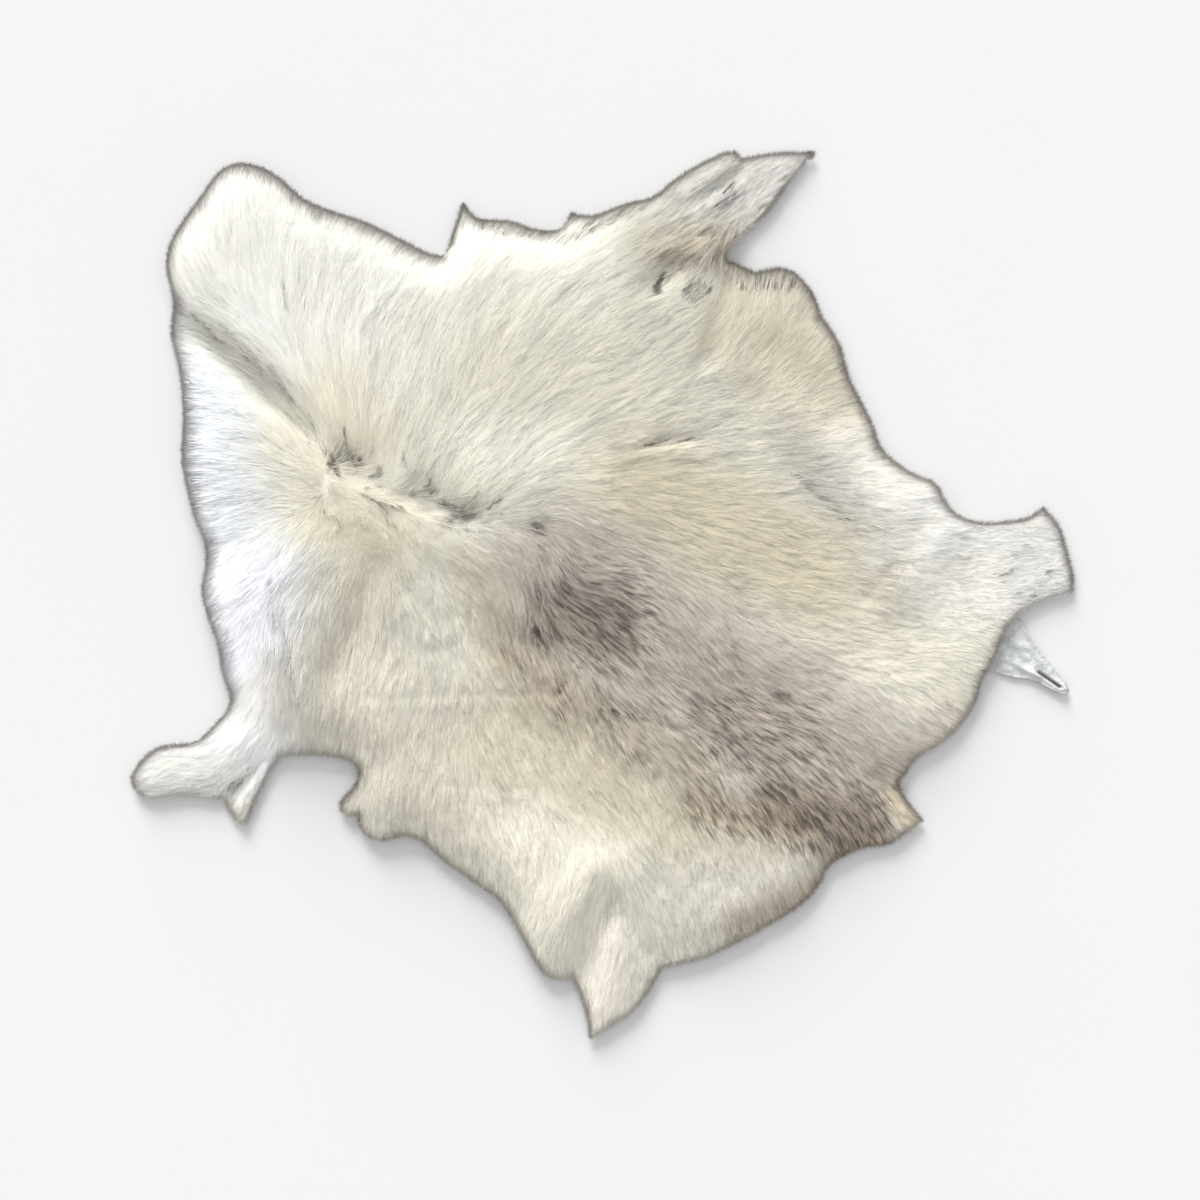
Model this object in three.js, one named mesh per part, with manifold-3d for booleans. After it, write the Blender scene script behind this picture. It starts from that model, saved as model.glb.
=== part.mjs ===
// A reindeer hide, tanned with the hair on, lying flat with the hair side up.
//
// The whole hide is one piece of skin, so it is one closed solid: the skin with its coat of hair, as thick as the
// hair stands, with the lobes of the neck, the four legs and the tail. Its underside lies on the floor and lifts
// off it only under the folds. One shank of the right hind leg is turned under the edge, so its flesh side shows.
//
// Everything is drawn on a chart, as a furrier lays a hide out on the table: millimetres, x to the right, y away
// from the maker, with the spine running diagonally from the neck (top left) to the tail (bottom right). The
// finished solid is then turned so that the spine runs along Y, with the neck towards +Y and the hair towards +Z.
import * as THREE from "three";
import { mergeVertices } from "three/addons/utils/BufferGeometryUtils.js";
import Module from "manifold-3d";

const wasm = await Module();
wasm.setup();

// ---------------------------------------------------------------- driving dimensions, in millimetres

const SPINE_TURN = -Math.PI / 4; // turns the chart so that the spine lies along Y
const CHART_CENTRE = { x: 4.27, y: 109.22 }; // the middle of the turned outline, which becomes the origin

const EDGE_STEP = 13; // spacing of the points along the outline
const GRID_STEP = 22; // spacing of the points across the hide
const CHART_HALF = { x: 638, y: 594 }; // half the size of the chart's grid, whole numbers of GRID_STEP

const RIM_HEIGHT = 7; // height of the hair where it lies over the cut edge
const RIM_ROUND = 52; // how far in from the edge the coat reaches its full height
const LEAST_COAT = 4; // the coat is never thinner than this in a crease

const SHANK_THICKNESS = 5; // the turned shank: bare skin, cockled as it dried

// ---------------------------------------------------------------- the outline

// The edge of the hide, clockwise from the spike at the right shoulder. Each stretch is one run of the knife,
// and its points are [x, y]. A stretch ends in a corner, unless it flows on into the next one.
const EDGE = [
  {
    stretch: "right shoulder",
    path: [[-171, 496], [-150, 476], [-112, 474], [-87, 465], [-60, 461], [-44, 465]],
  },
  {
    stretch: "right foreleg, outer edge",
    path: [[-36, 484], [-10, 480], [37, 496], [65, 502], [100, 529], [131, 547], [169, 561]],
  },
  {
    stretch: "right foreleg, cut end",
    path: [[179, 552], [206, 557], [231, 560]],
  },
  {
    stretch: "right foreleg, inner edge",
    path: [[271, 559], [255, 544], [231, 512], [212, 485], [178, 451], [160, 435]],
  },
  {
    stretch: "right flank",
    flowsOn: true,
    path: [
      [159, 423], [175, 419], [194, 410], [219, 415], [241, 412], [258, 396], [271, 377], [278, 355],
      [292, 336], [304, 312], [312, 280], [329, 247], [342, 220], [352, 192], [369, 174], [397, 156],
    ],
  },
  {
    stretch: "right hind leg, front edge",
    path: [[421, 146], [436, 118], [452, 104], [481, 97], [519, 100], [539, 104]],
  },
  {
    stretch: "right hind leg, cut end",
    path: [[555, 116], [575, 94], [588, 52], [594, 25]],
  },
  {
    stretch: "right thigh",
    path: [
      [592, 9], [562, 1], [526, -17], [507, -40], [496, -69], [485, -89], [477, -105], [471, -128],
      [447, -162], [425, -181], [400, -196],
    ],
  },
  {
    stretch: "tail, right edge",
    path: [[374, -230], [385, -251]],
  },
  {
    stretch: "tail and rump",
    path: [
      [406, -275], [381, -294], [362, -306], [332, -309], [306, -321], [286, -334], [276, -355],
      [256, -379], [215, -405], [152, -439], [125, -450],
    ],
  },
  {
    stretch: "left hind leg, rear edge",
    path: [[79, -460], [65, -485], [45, -512], [19, -531]],
  },
  {
    stretch: "left hind leg, front edge",
    path: [[-11, -549], [-14, -525], [-19, -504]],
  },
  {
    stretch: "left flank",
    path: [
      [-32, -474], [-50, -475], [-66, -470], [-78, -454], [-99, -415], [-125, -375], [-150, -357],
      [-195, -325], [-224, -300], [-245, -295], [-265, -301], [-286, -297], [-299, -284],
    ],
  },
  {
    stretch: "left armpit",
    path: [
      [-301, -268], [-319, -269], [-326, -257], [-310, -237], [-298, -216], [-310, -202], [-331, -196],
      [-375, -194], [-396, -196], [-408, -210], [-427, -246],
    ],
  },
  {
    stretch: "left foreleg, dew claw strip",
    path: [[-441, -281], [-455, -275]],
  },
  {
    stretch: "left foreleg",
    flowsOn: true,
    path: [
      [-470, -250], [-494, -247], [-521, -245], [-566, -247], [-580, -239], [-585, -224], [-577, -207],
      [-562, -191], [-542, -182], [-502, -177], [-485, -161], [-464, -137],
    ],
  },
  {
    stretch: "throat",
    flowsOn: true,
    path: [
      [-460, -124], [-470, -94], [-476, -56], [-487, -25], [-496, 10], [-491, 44], [-492, 71],
      [-505, 102], [-514, 137], [-521, 175], [-519, 225], [-521, 262], [-526, 297], [-535, 331],
      [-532, 375], [-539, 406],
    ],
  },
  {
    stretch: "neck",
    path: [
      [-540, 427], [-534, 450], [-515, 481], [-496, 506], [-480, 530], [-467, 541], [-449, 546],
      [-427, 542], [-405, 532], [-370, 502], [-350, 492], [-287, 470], [-231, 442], [-207, 431],
    ],
  },
  {
    stretch: "nick between neck and shoulder",
    path: [[-191, 430], [-184, 455]],
  },
];

// The turned shank: what shows of it past the right thigh, then the root that is hidden under the hide.
const SHANK_EDGE = [
  {
    stretch: "shank, outer edge",
    path: [[516, -14], [530, -28], [537, -44], [556, -68], [573, -88]],
  },
  {
    stretch: "shank, tip and inner edge",
    path: [[589, -110], [586, -118], [569, -115], [550, -102], [535, -97], [517, -97], [500, -92]],
  },
  {
    stretch: "shank, hidden root",
    path: [[478, -84], [462, -62], [470, -34]],
  },
];

// ---------------------------------------------------------------- the height of the coat and the folds

// How high the hair stands on each part of the hide. A part's share fades out with its reach.
const COAT = [
  { part: "mane at the throat", x: -440, y: 120, reach: 150, height: 44 },
  { part: "neck", x: -430, y: 420, reach: 130, height: 38 },
  { part: "withers", x: -270, y: 130, reach: 120, height: 42 },
  { part: "right shoulder", x: -60, y: 300, reach: 170, height: 34 },
  { part: "back", x: 60, y: 0, reach: 160, height: 27 },
  { part: "rump", x: 250, y: -200, reach: 150, height: 25 },
  { part: "right flank", x: 250, y: 180, reach: 130, height: 25 },
  { part: "left flank", x: -160, y: -200, reach: 150, height: 30 },
  { part: "right foreleg", x: 190, y: 500, reach: 90, height: 10 },
  { part: "right hind leg", x: 530, y: 50, reach: 90, height: 9 },
  { part: "left hind leg", x: 10, y: -500, reach: 80, height: 14 },
  { part: "left foreleg", x: -530, y: -210, reach: 90, height: 16 },
  { part: "dew claw strip", x: -440, y: -250, reach: 40, height: 9 },
  { part: "tail", x: 380, y: -268, reach: 40, height: 14 },
];

// Folds, where skin and coat lift off the floor together along a line.
const FOLDS = [
  { fold: "lobe over the left hind leg", from: [-55, -420], to: [-5, -350], half: 60, rise: 16 },
  { fold: "roll beside the right hind leg", from: [432, 92], to: [372, 22], half: 60, rise: 10 },
  { fold: "folded strip of the right foreleg", from: [60, 478], to: [160, 545], half: 44, rise: 8 },
  { fold: "roll under the right armpit", from: [80, 425], to: [150, 440], half: 46, rise: 9 },
  { fold: "ridge of the mane", from: [-392, 40], to: [-388, -120], half: 64, rise: 12 },
  { fold: "wave across the left flank", from: [-340, -120], to: [-150, -110], half: 52, rise: 5 },
  { fold: "thigh over the turned shank", from: [470, -62], to: [492, -48], half: 75, rise: 5 },
];

// Creases and partings, where only the top of the coat dips along a line.
const CREASES = [
  { crease: "parting from the neck to the withers", from: [-530, 350], to: [-330, 180], half: 32, depth: 13 },
  { crease: "hollow at the withers", from: [-325, 175], to: [-280, 165], half: 36, depth: 14 },
  { crease: "swirl behind the withers", from: [-215, 140], to: [-165, 100], half: 34, depth: 14 },
  { crease: "beside the lobe of the left hind leg", from: [8, -350], to: [-28, -462], half: 24, depth: 10 },
  { crease: "along the right hind leg", from: [415, 108], to: [335, 15], half: 26, depth: 8 },
  { crease: "beside the folded strip", from: [50, 470], to: [178, 550], half: 16, depth: 5 },
  { crease: "pit at the right armpit", from: [72, 402], to: [92, 412], half: 26, depth: 12 },
  { crease: "between the foreleg and its dew claw strip", from: [-462, -250], to: [-440, -205], half: 18, depth: 7 },
  { crease: "saddle's front corner", from: [-85, 95], to: [-60, 75], half: 24, depth: 7 },
];

// ---------------------------------------------------------------- lines and distances on the chart

// The stretches as one closed line of points, smooth within a stretch and sharp at its corners.
function closedLine(stretches, step) {
  const first = stretches[0].path[0];
  const line = [];
  let run = [];
  stretches.forEach(({ path, flowsOn }, i) => {
    run.push(...path);
    if (flowsOn) return;
    const end = i + 1 < stretches.length ? stretches[i + 1].path[0] : first;
    const knots = [...run, end].map(([x, y]) => new THREE.Vector3(x, y, 0));
    const curve = new THREE.CatmullRomCurve3(knots, false, "centripetal");
    const count = Math.max(1, Math.round(curve.getLength() / step));
    line.push(...curve.getSpacedPoints(count).slice(0, -1));
    run = [];
  });
  return line.map((p) => new THREE.Vector2(p.x, p.y));
}

// Distance from the point (x, y) to the straight line between two points.
function distanceToSegment(x, y, a, b) {
  const [dx, dy] = [b[0] - a[0], b[1] - a[1]];
  const along = ((x - a[0]) * dx + (y - a[1]) * dy) / (dx * dx + dy * dy);
  const t = Math.min(1, Math.max(0, along));
  return Math.hypot(x - a[0] - t * dx, y - a[1] - t * dy);
}

// Whether (x, y) is inside the closed line, and how far it is from it: positive inside, negative outside.
function depthInside(x, y, line) {
  let inside = false;
  let nearest = Infinity;
  line.forEach((a, i) => {
    const b = line[(i + 1) % line.length];
    if (a.y > y !== b.y > y && x < a.x + ((y - a.y) / (b.y - a.y)) * (b.x - a.x)) inside = !inside;
    nearest = Math.min(nearest, distanceToSegment(x, y, [a.x, a.y], [b.x, b.y]));
  });
  return inside ? nearest : -nearest;
}

// A soft bump that is 1 on the line of a fold or crease and 0 from its half width on.
function bump(x, y, { from, to, half }) {
  const share = distanceToSegment(x, y, from, to) / half;
  return share < 1 ? (1 - share * share) ** 2 : 0;
}

// ---------------------------------------------------------------- the two faces of the hide

const outline = closedLine(EDGE, EDGE_STEP);

function coatHeight(x, y) {
  let weights = 0;
  let total = 0;
  for (const row of COAT) {
    const weight = Math.exp(-((x - row.x) ** 2 + (y - row.y) ** 2) / row.reach ** 2) + 1e-9;
    weights += weight;
    total += weight * row.height;
  }
  return total / weights;
}

// The underside: on the floor, apart from where a fold lifts it.
function undersideAt(x, y) {
  return Math.max(0, ...FOLDS.map((row) => row.rise * bump(x, y, row)));
}

// The top of the coat: rounded down to the rim at the edge, and dipped along the creases.
function coatTopAt(x, y) {
  const inward = Math.min(1, Math.max(0, depthInside(x, y, outline) / RIM_ROUND));
  const rounding = Math.sin((Math.PI / 2) * inward);
  const full = coatHeight(x, y);
  const coat = Math.min(full, RIM_HEIGHT) + Math.max(0, full - RIM_HEIGHT) * rounding;
  const dip = Math.max(0, ...CREASES.map((row) => row.depth * bump(x, y, row)));
  return undersideAt(x, y) + Math.max(LEAST_COAT, coat - dip);
}

// ---------------------------------------------------------------- solids

// A three.js geometry as a solid that can be joined and cut.
function solidOf(geometry) {
  const bare = geometry.clone();
  bare.deleteAttribute("normal");
  bare.deleteAttribute("uv");
  const merged = mergeVertices(bare, 1e-3);
  return new wasm.Manifold(
    new wasm.Mesh({
      numProp: 3,
      vertProperties: new Float32Array(merged.attributes.position.array),
      triVerts: new Uint32Array(merged.index.array),
    }),
  );
}

function geometryOf(solid) {
  const mesh = solid.getMesh();
  const positions = new Float32Array(mesh.vertProperties);
  const geometry = new THREE.BufferGeometry();
  geometry.setAttribute("position", new THREE.BufferAttribute(positions, 3));
  geometry.setIndex(new THREE.BufferAttribute(new Uint32Array(mesh.triVerts), 1));
  geometry.computeVertexNormals();
  return geometry;
}

// A block as large as the chart: a BoxGeometry whose upper and lower faces are bent to the coat and the underside.
function chartSlab() {
  const columns = Math.round((2 * CHART_HALF.x) / GRID_STEP);
  const rows = Math.round((2 * CHART_HALF.y) / GRID_STEP);
  const box = new THREE.BoxGeometry(2 * CHART_HALF.x, 2 * CHART_HALF.y, 1, columns, rows, 1);
  const place = box.attributes.position;
  for (let i = 0; i < place.count; i += 1) {
    const [x, y] = [place.getX(i), place.getY(i)];
    place.setZ(i, place.getZ(i) > 0 ? coatTopAt(x, y) : undersideAt(x, y));
  }
  return solidOf(box);
}

// A closed line extruded from z = bottom to z = top.
function prism(line, bottom, top) {
  const shape = new THREE.Shape(line);
  const block = new THREE.ExtrudeGeometry(shape, { depth: top - bottom, bevelEnabled: false, curveSegments: 1 });
  return solidOf(block.translate(0, 0, bottom));
}

function hideGeometry() {
  const highest = 100; // above every part of the coat
  const body = chartSlab().intersect(prism(outline, -highest, highest));
  const shank = prism(closedLine(SHANK_EDGE, EDGE_STEP), 0, SHANK_THICKNESS);
  return geometryOf(body.add(shank));
}

// ---------------------------------------------------------------- the part

const hairOnHide = new THREE.MeshStandardMaterial({ color: "#d9d4c4", roughness: 0.92, metalness: 0 });

const hide = new THREE.Mesh(hideGeometry(), hairOnHide);
hide.name = "hide";
hide.rotation.z = SPINE_TURN;
hide.position.set(-CHART_CENTRE.x, -CHART_CENTRE.y, 0);

const part = new THREE.Group();
part.add(hide);

export default part;
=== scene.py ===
import math

import bmesh
import bpy
import numpy as np
from bpy.props import FloatProperty, FloatVectorProperty, IntProperty, PointerProperty
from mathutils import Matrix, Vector, geometry
from mathutils.bvhtree import BVHTree


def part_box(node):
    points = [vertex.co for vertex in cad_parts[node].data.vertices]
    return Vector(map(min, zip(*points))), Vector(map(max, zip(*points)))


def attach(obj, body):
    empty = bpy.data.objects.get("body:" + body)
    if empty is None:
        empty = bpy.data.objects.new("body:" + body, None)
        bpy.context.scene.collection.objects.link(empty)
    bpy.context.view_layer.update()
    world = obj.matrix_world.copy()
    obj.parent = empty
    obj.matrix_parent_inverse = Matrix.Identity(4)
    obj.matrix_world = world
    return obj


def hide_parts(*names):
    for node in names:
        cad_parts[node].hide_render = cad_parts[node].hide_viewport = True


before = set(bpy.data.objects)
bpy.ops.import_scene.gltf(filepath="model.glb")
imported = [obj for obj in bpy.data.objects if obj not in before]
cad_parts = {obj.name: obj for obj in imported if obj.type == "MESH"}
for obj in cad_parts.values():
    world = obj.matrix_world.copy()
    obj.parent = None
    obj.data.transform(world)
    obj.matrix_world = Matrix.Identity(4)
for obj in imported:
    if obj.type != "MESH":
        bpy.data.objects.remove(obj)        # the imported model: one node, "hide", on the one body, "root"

bl_info = {
    "name": "Reindeer hide",
    "version": (1, 0, 0),
    "blender": (4, 5, 0),
    "location": "3D View > Sidebar > Hide",
    "description": "Skin, underwool and combed guard hair of a reindeer hide, laid flat, hair side up",
    "category": "Object",
}

# A hide is charted as a furrier lays it on the table: x to the right, y away from the maker, the spine
# running diagonally from the neck (top left) to the tail (bottom right). The tables below are on that chart,
# in millimetres, with headings in degrees from +x towards +y. The row frame has the spine along Y.
MM = 0.001
CHART_CENTRE = (4.27 * MM, 109.22 * MM)
HALF_ROOT = math.sqrt(0.5)  # sine and cosine of the eighth turn between chart and row frame

RASTER = 4 * MM  # spacing of the fields that hold heights, lengths, colours and the lie of the coat
MARGIN = 80 * MM  # how far those fields reach past the hide
GAP = 0.2 * MM  # between skin and wool, and between the floor and the hide
SKIN_LIFT = 0.1 * MM  # how far the skin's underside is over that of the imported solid


def linear(code):
    """An sRGB hex colour as linear red, green and blue."""
    parts = [int(code[i : i + 2], 16) / 255 for i in (1, 3, 5)]
    return [p / 12.92 if p <= 0.04045 else ((p + 0.055) / 1.055) ** 2.4 for p in parts]


def rows_of(table):
    """The rows of a table in their order, whichever place of the hide they stand under."""
    return [row for rows in table.values() for row in rows]


# ---------------------------------------------------------------- what grows where

# Guard hair: how much of its length shows above the wool, how wide a drawn lock of it is, how many stand on a
# square centimetre, and how much neighbouring locks differ in tone. A part's share fades out with its reach.
COAT = [
    # part, x, y, reach, length, lock width, per cm2, tone spread, piece
    ("mane", -440, 120, 150, 33, 1.0, 82, 0.08, "mane"),
    ("neck", -430, 420, 130, 31, 0.95, 94, 0.11, "neck"),
    ("withers", -270, 130, 120, 30, 0.85, 112, 0.14, "withers"),
    ("right shoulder", -60, 300, 170, 29, 0.8, 104, 0.12, "shoulder"),
    ("back", 60, 0, 160, 17, 0.72, 108, 0.11, "back"),
    ("rump", 250, -200, 150, 16, 0.72, 106, 0.09, "rump"),
    ("right flank", 250, 180, 130, 22, 0.8, 100, 0.09, "right_flank"),
    ("left flank", -160, -200, 150, 23, 0.8, 102, 0.09, "left_flank"),
    ("right foreleg", 190, 500, 90, 13, 0.75, 110, 0.12, "shoulder"),
    ("right hind leg", 530, 50, 90, 11, 0.75, 115, 0.06, "right_flank"),
    ("left hind leg", 10, -500, 80, 17, 0.8, 105, 0.07, "left_flank"),
    ("left foreleg", -530, -210, 90, 19, 0.8, 105, 0.06, "mane"),
    ("dew claw strip", -440, -250, 40, 12, 0.75, 110, 0.08, "mane"),
    ("tail", 380, -268, 40, 14, 0.75, 105, 0.12, "rump"),
]

# The lie of the coat, as combed: at (x, y) the hair points to this heading.
LIE = {
    # x, y, heading
    "neck": [
        (-450, 500, 92), (-436, 425, 92), (-374, 437, 82), (-299, 450, 55), (-349, 375, 84),
        (-249, 375, 60), (-186, 312, 64), (-224, 225, 70), (-499, 462, 104), (-511, 400, 124),
        (-345, 290, 96),
    ],
    "right shoulder": [
        (-124, 375, 44), (-124, 187, 46), (-99, 250, 40), (1, 337, 30), (1, 250, 22), (64, 200, 12),
        (-167, 475, 76), (-99, 450, 56), (-36, 450, 50), (26, 462, 36), (126, 250, 20),
    ],
    "right foreleg": [
        (101, 450, 30), (151, 512, 37), (226, 537, 33), (126, 525, 40), (60, 400, 34),
    ],
    "right flank": [
        (126, 150, 0), (189, 325, 50), (176, 406, 84), (214, 394, 76), (251, 337, 48), (270, 362, 56),
        (301, 300, 34), (339, 212, 14), (226, 187, 8), (314, 100, -6), (376, 156, 0), (201, 50, -12),
        (110, 350, 40),
    ],
    "right hind leg": [
        (376, 50, 0), (501, 50, 5), (564, 50, 5), (451, -25, -12), (482, -62, -26),
    ],
    "right thigh": [
        (314, 0, -12), (376, -50, -8), (426, -125, -32), (376, -150, -34),
    ],
    "saddle": [
        (-74, 25, -62), (26, 0, -26), (126, -50, -41), (251, -125, -34), (314, -237, -42), (126, -150, -44),
        (-30, 60, -30), (60, 90, -16), (-96, 40, -76), (-92, -12, -76), (-5, 40, -14), (-40, -5, -36),
        (0, -42, -36), (-60, 62, -50), (-70, 88, -20),
    ],
    "rump": [
        (376, -250, -50), (314, -312, -62), (251, -375, -66), (176, -419, -72),
    ],
    "left flank": [
        (-49, -125, -66), (-99, -200, -72), (1, -250, -60), (51, -325, -66), (126, -375, -78),
        (226, -340, -70), (-186, -25, -78), (-249, -125, -96), (-186, -225, -90), (-311, -62, -98),
        (-324, -162, -96), (-149, -325, -86), (-224, -287, -88), (-274, -262, -95), (-311, -212, -100),
    ],
    "left hind leg": [
        (-74, -412, -95), (1, -500, -92), (14, -450, -94), (76, -400, -80), (-30, -360, -98),
    ],
    "throat": [
        (-436, 187, 180), (-436, 250, 167), (-474, 325, 150), (-424, 275, 142), (-374, 200, 124),
        (-411, 125, 192), (-436, 50, 212), (-374, 50, 235), (-399, -50, 258), (-461, -50, 219),
        (-386, -125, 268), (-499, 100, 186), (-492, 225, 178), (-499, 312, 160), (-480, 0, 206),
        (-467, -100, 226),
    ],
    "left foreleg": [
        (-499, -212, 197), (-550, -215, 192), (-449, -162, 228), (-436, -237, 242),
    ],
    "parting, upper side": [
        (-318, 206, 98), (-280, 181, 76), (-249, 162, 66), (-199, 150, 58), (-149, 125, 46), (-86, 106, 26),
    ],
    "parting, lower side": [
        (-361, 150, 166), (-330, 66, 240), (-249, 87, -62), (-211, 100, -30), (-149, 69, -38),
        (-99, 62, -46), (-274, 50, -84), (-224, 25, -76), (-190, 92, -28), (-314, 152, -10),
        (-296, 138, -22), (-304, 122, -50),
    ],
}

# Where the hair stands up and turns every way: x, y, reach, share.
SWIRLS = {
    "curly patch behind the withers": (-300, 94, 42, 0.7),
    "between the patch and the whorl": (-306, 140, 22, 0.35),
    "beside the whorl": (-335, 150, 18, 0.5),
    "whorl at the end of the parting": (-318, 176, 20, 0.4),
    "whorls along the parting": (-190, 112, 24, 0.45),
    "front corner of the saddle": (-74, 82, 14, 0.35),
    "pit at the right armpit": (98, 392, 20, 0.25),
}

# Pigment in the coat, with painted shade in a few hollows and creases and the cool cast of daylight painted on
# the
# mane: a stroke from (x0, y0) to (x1, y1), its half width, colour and strength. Later ones lie over earlier
# ones, and all have soft, ragged edges.
GROUND_COLOUR = "#E1DED1"
MARKINGS = {
    # x0, y0, x1, y1, half width, colour, strength
    "neck and right shoulder": [
        (-450, 460, -260, 370, 150, "#ECEBE4", 1), (-180, 430, -60, 396, 80, "#F9F8F0", 0.95),
        (-110, 280, 60, 230, 120, "#E2DED0", 0.9), (-150, 190, -10, 172, 40, "#F2F0E5", 0.8),
    ],
    "mane, throat and left foreleg": [
        # the two strokes on the next line are white hair, with the cool cast of daylight on that side painted
        # in
        (-500, 260, -470, -140, 85, "#F1F3F5", 1), (-428, 10, -405, -170, 60, "#F5F6F9", 1),
        (-490, 330, -380, 245, 26, "#D9D6C8", 0.7), (-436, -186, -560, -220, 56, "#EFEEE9", 1),
        (-375, 200, -335, 150, 48, "#E4E0CF", 0.8),
    ],
    "round the curly patch": [
        (-325, 100, -262, 80, 48, "#EBE5D1", 0.9), (-325, 265, -290, 205, 36, "#E0D9C5", 0.6),
        # the first stroke on the next line is painted shade, in the hollow under the curly patch
        (-268, 42, -325, -85, 30, "#CDC5B1", 0.65), (-150, 30, -122, -62, 32, "#D2CAB5", 0.8),
    ],
    "right foreleg and armpit": [
        (150, 485, 240, 545, 52, "#E4E2DC", 1), (50, 495, 165, 545, 20, "#D2D0C8", 0.8),
        (64, 440, 146, 462, 25, "#C6C0B1", 0.85), (180, 388, 250, 378, 22, "#C3BFB4", 0.75),
        (98, 434, 160, 428, 22, "#C0B6A3", 0.7), (110, 340, 165, 290, 50, "#D8D5C8", 0.6),
        (170, 385, 148, 318, 20, "#CBC4B0", 0.7),
    ],
    "right flank": [
        (225, 330, 300, 230, 62, "#DCD5C1", 0.9), (330, 150, 400, 95, 75, "#F1EFE7", 1),
        (250, 190, 325, 85, 30, "#C9C4BA", 0.7), (60, 130, 320, 10, 66, "#DBD3BC", 0.9),
    ],
    "right hind leg and thigh": [
        # the second stroke on the next line is painted shade, in the hollow of the right thigh
        (440, 50, 590, 45, 84, "#EDECE8", 1), (332, -4, 374, 38, 18, "#CDC5B1", 0.5),
        (370, -80, 430, -115, 80, "#F0ECDE", 0.9), (385, -205, 450, -140, 16, "#F0E6D8", 0.6),
    ],
    "left flank": [
        (-300, -130, -170, -240, 110, "#E2DDCE", 0.9), (-110, -180, -10, -228, 54, "#DFD8C2", 0.9),
    ],
    "left thigh and hind leg": [
        (10, -262, 190, -298, 44, "#DBD3BC", 0.8), (-90, -310, 10, -345, 56, "#F5F1E3", 0.9),
        (90, -375, 220, -360, 60, "#E3DFD2", 0.85), (170, -412, 290, -350, 16, "#BBA995", 0.7),
        (-4, -430, -5, -530, 46, "#F8F3E8", 1),
    ],
    "saddle": [
        (-100, -60, -40, -125, 42, "#B9AD98", 0.85), (-30, 12, 300, -225, 80, "#BFB5AA", 0.95),
        (10, -155, 120, -212, 36, "#B5A996", 0.7), (-80, 42, -5, 50, 30, "#C4BAB0", 0.9),
        (-40, -8, 20, -18, 38, "#8B8178", 0.95), (-74, 12, -66, -34, 11, "#8F857B", 0.6),
        (-58, -36, 20, -56, 24, "#958B80", 0.8), (150, -148, 215, -182, 36, "#A59B90", 0.65),
        (225, -256, 335, -280, 34, "#958879", 0.85), (130, -258, 255, -292, 24, "#A39380", 0.7),
    ],
    "rump and tail": [
        (285, -322, 350, -304, 12, "#B19E8A", 0.7), (376, -246, 388, -268, 15, "#EADDC4", 0.95),
    ],
    "parting and whorl": [
        (-200, 122, -160, 102, 20, "#D6D0C3", 0.4), (-337, 152, -331, 146, 17, "#D8D3C3", 0.6),
    ],
    "legs and flank, over the rest": [
        (-60, -378, -42, -430, 26, "#F1EDDF", 0.8), (-446, -176, -430, -194, 34, "#FDFDFC", 0.9),
        # the last stroke on the next line and the first on the one after are painted shade, along the crease of
        # the right thigh
        (432, 18, 478, 30, 34, "#F6F4EC", 0.8), (340, 4, 374, 44, 6, "#B1A893", 0.6),
        (374, 44, 412, 100, 5, "#B5AD9B", 0.6), (-268, -118, -236, -130, 34, "#EEEADC", 0.8),
    ],
}

LEAST_COAT = 3 * MM  # the coat is never lower than this, even in a crease

# Folds of the skin that show through the coat: a line, how far its sides reach, and its height, which is
# below 0 for a trough.
CREASES = {
    # x0, y0, x1, y1, half width, rise
    "right thigh": [
        (364, 22, 416, 82, 12, 0.8), (344, 3, 374, 40, 8, -2), (374, 40, 414, 96, 8, -1.4),
    ],
    "left hind leg": [
        (14, -372, 10, -402, 7, -8), (10, -402, -20, -464, 9, -2), (26, -384, 62, -448, 9, -4),
        (20, -420, 8, -510, 20, 4),
    ],
    "left foreleg, dew claw": [
        (-458, -250, -424, -204, 6, -5),
    ],
    "right foreleg, lengthwise": [
        (182, 542, 128, 500, 7, -2.5), (170, 548, 118, 512, 8, 1.5),
    ],
    "right armpit": [
        (78, 390, 90, 408, 6, -4.5), (90, 412, 120, 432, 12, -1),
    ],
    "throat": [
        (-516, 350, -420, 250, 8, -4), (-420, 250, -345, 200, 8, -4),
    ],
    "parting": [
        (-322, 190, -312, 156, 8, -2), (-300, 150, -160, 104, 9, -2),
    ],
    "left flank": [
        (-285, -128, -70, -122, 6, -1.3), (-200, -236, -90, -240, 6, -1), (-20, -75, -50, -125, 6, -3),
    ],
    "right flank, crack": [
        (60, 193, 120, 201, 4, -5),
    ],
    "throat, hollow under the curly patch, and mane": [
        (-505, 335, -400, 255, 16, -5), (-272, 35, -330, -95, 22, -5), (-396, 0, -384, -140, 14, -3),
    ],
    "tufts of the left flank": [
        (-165, -70, -138, -95, 12, 2.5), (-208, -60, -176, -45, 12, 2), (-232, -18, -214, -56, 12, 2),
    ],
    "right flank, armpit and foreleg": [
        (215, 312, 290, 235, 26, -4), (160, 390, 138, 300, 14, -4), (60, 480, 180, 548, 9, 1.8),
    ],
}
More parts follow.
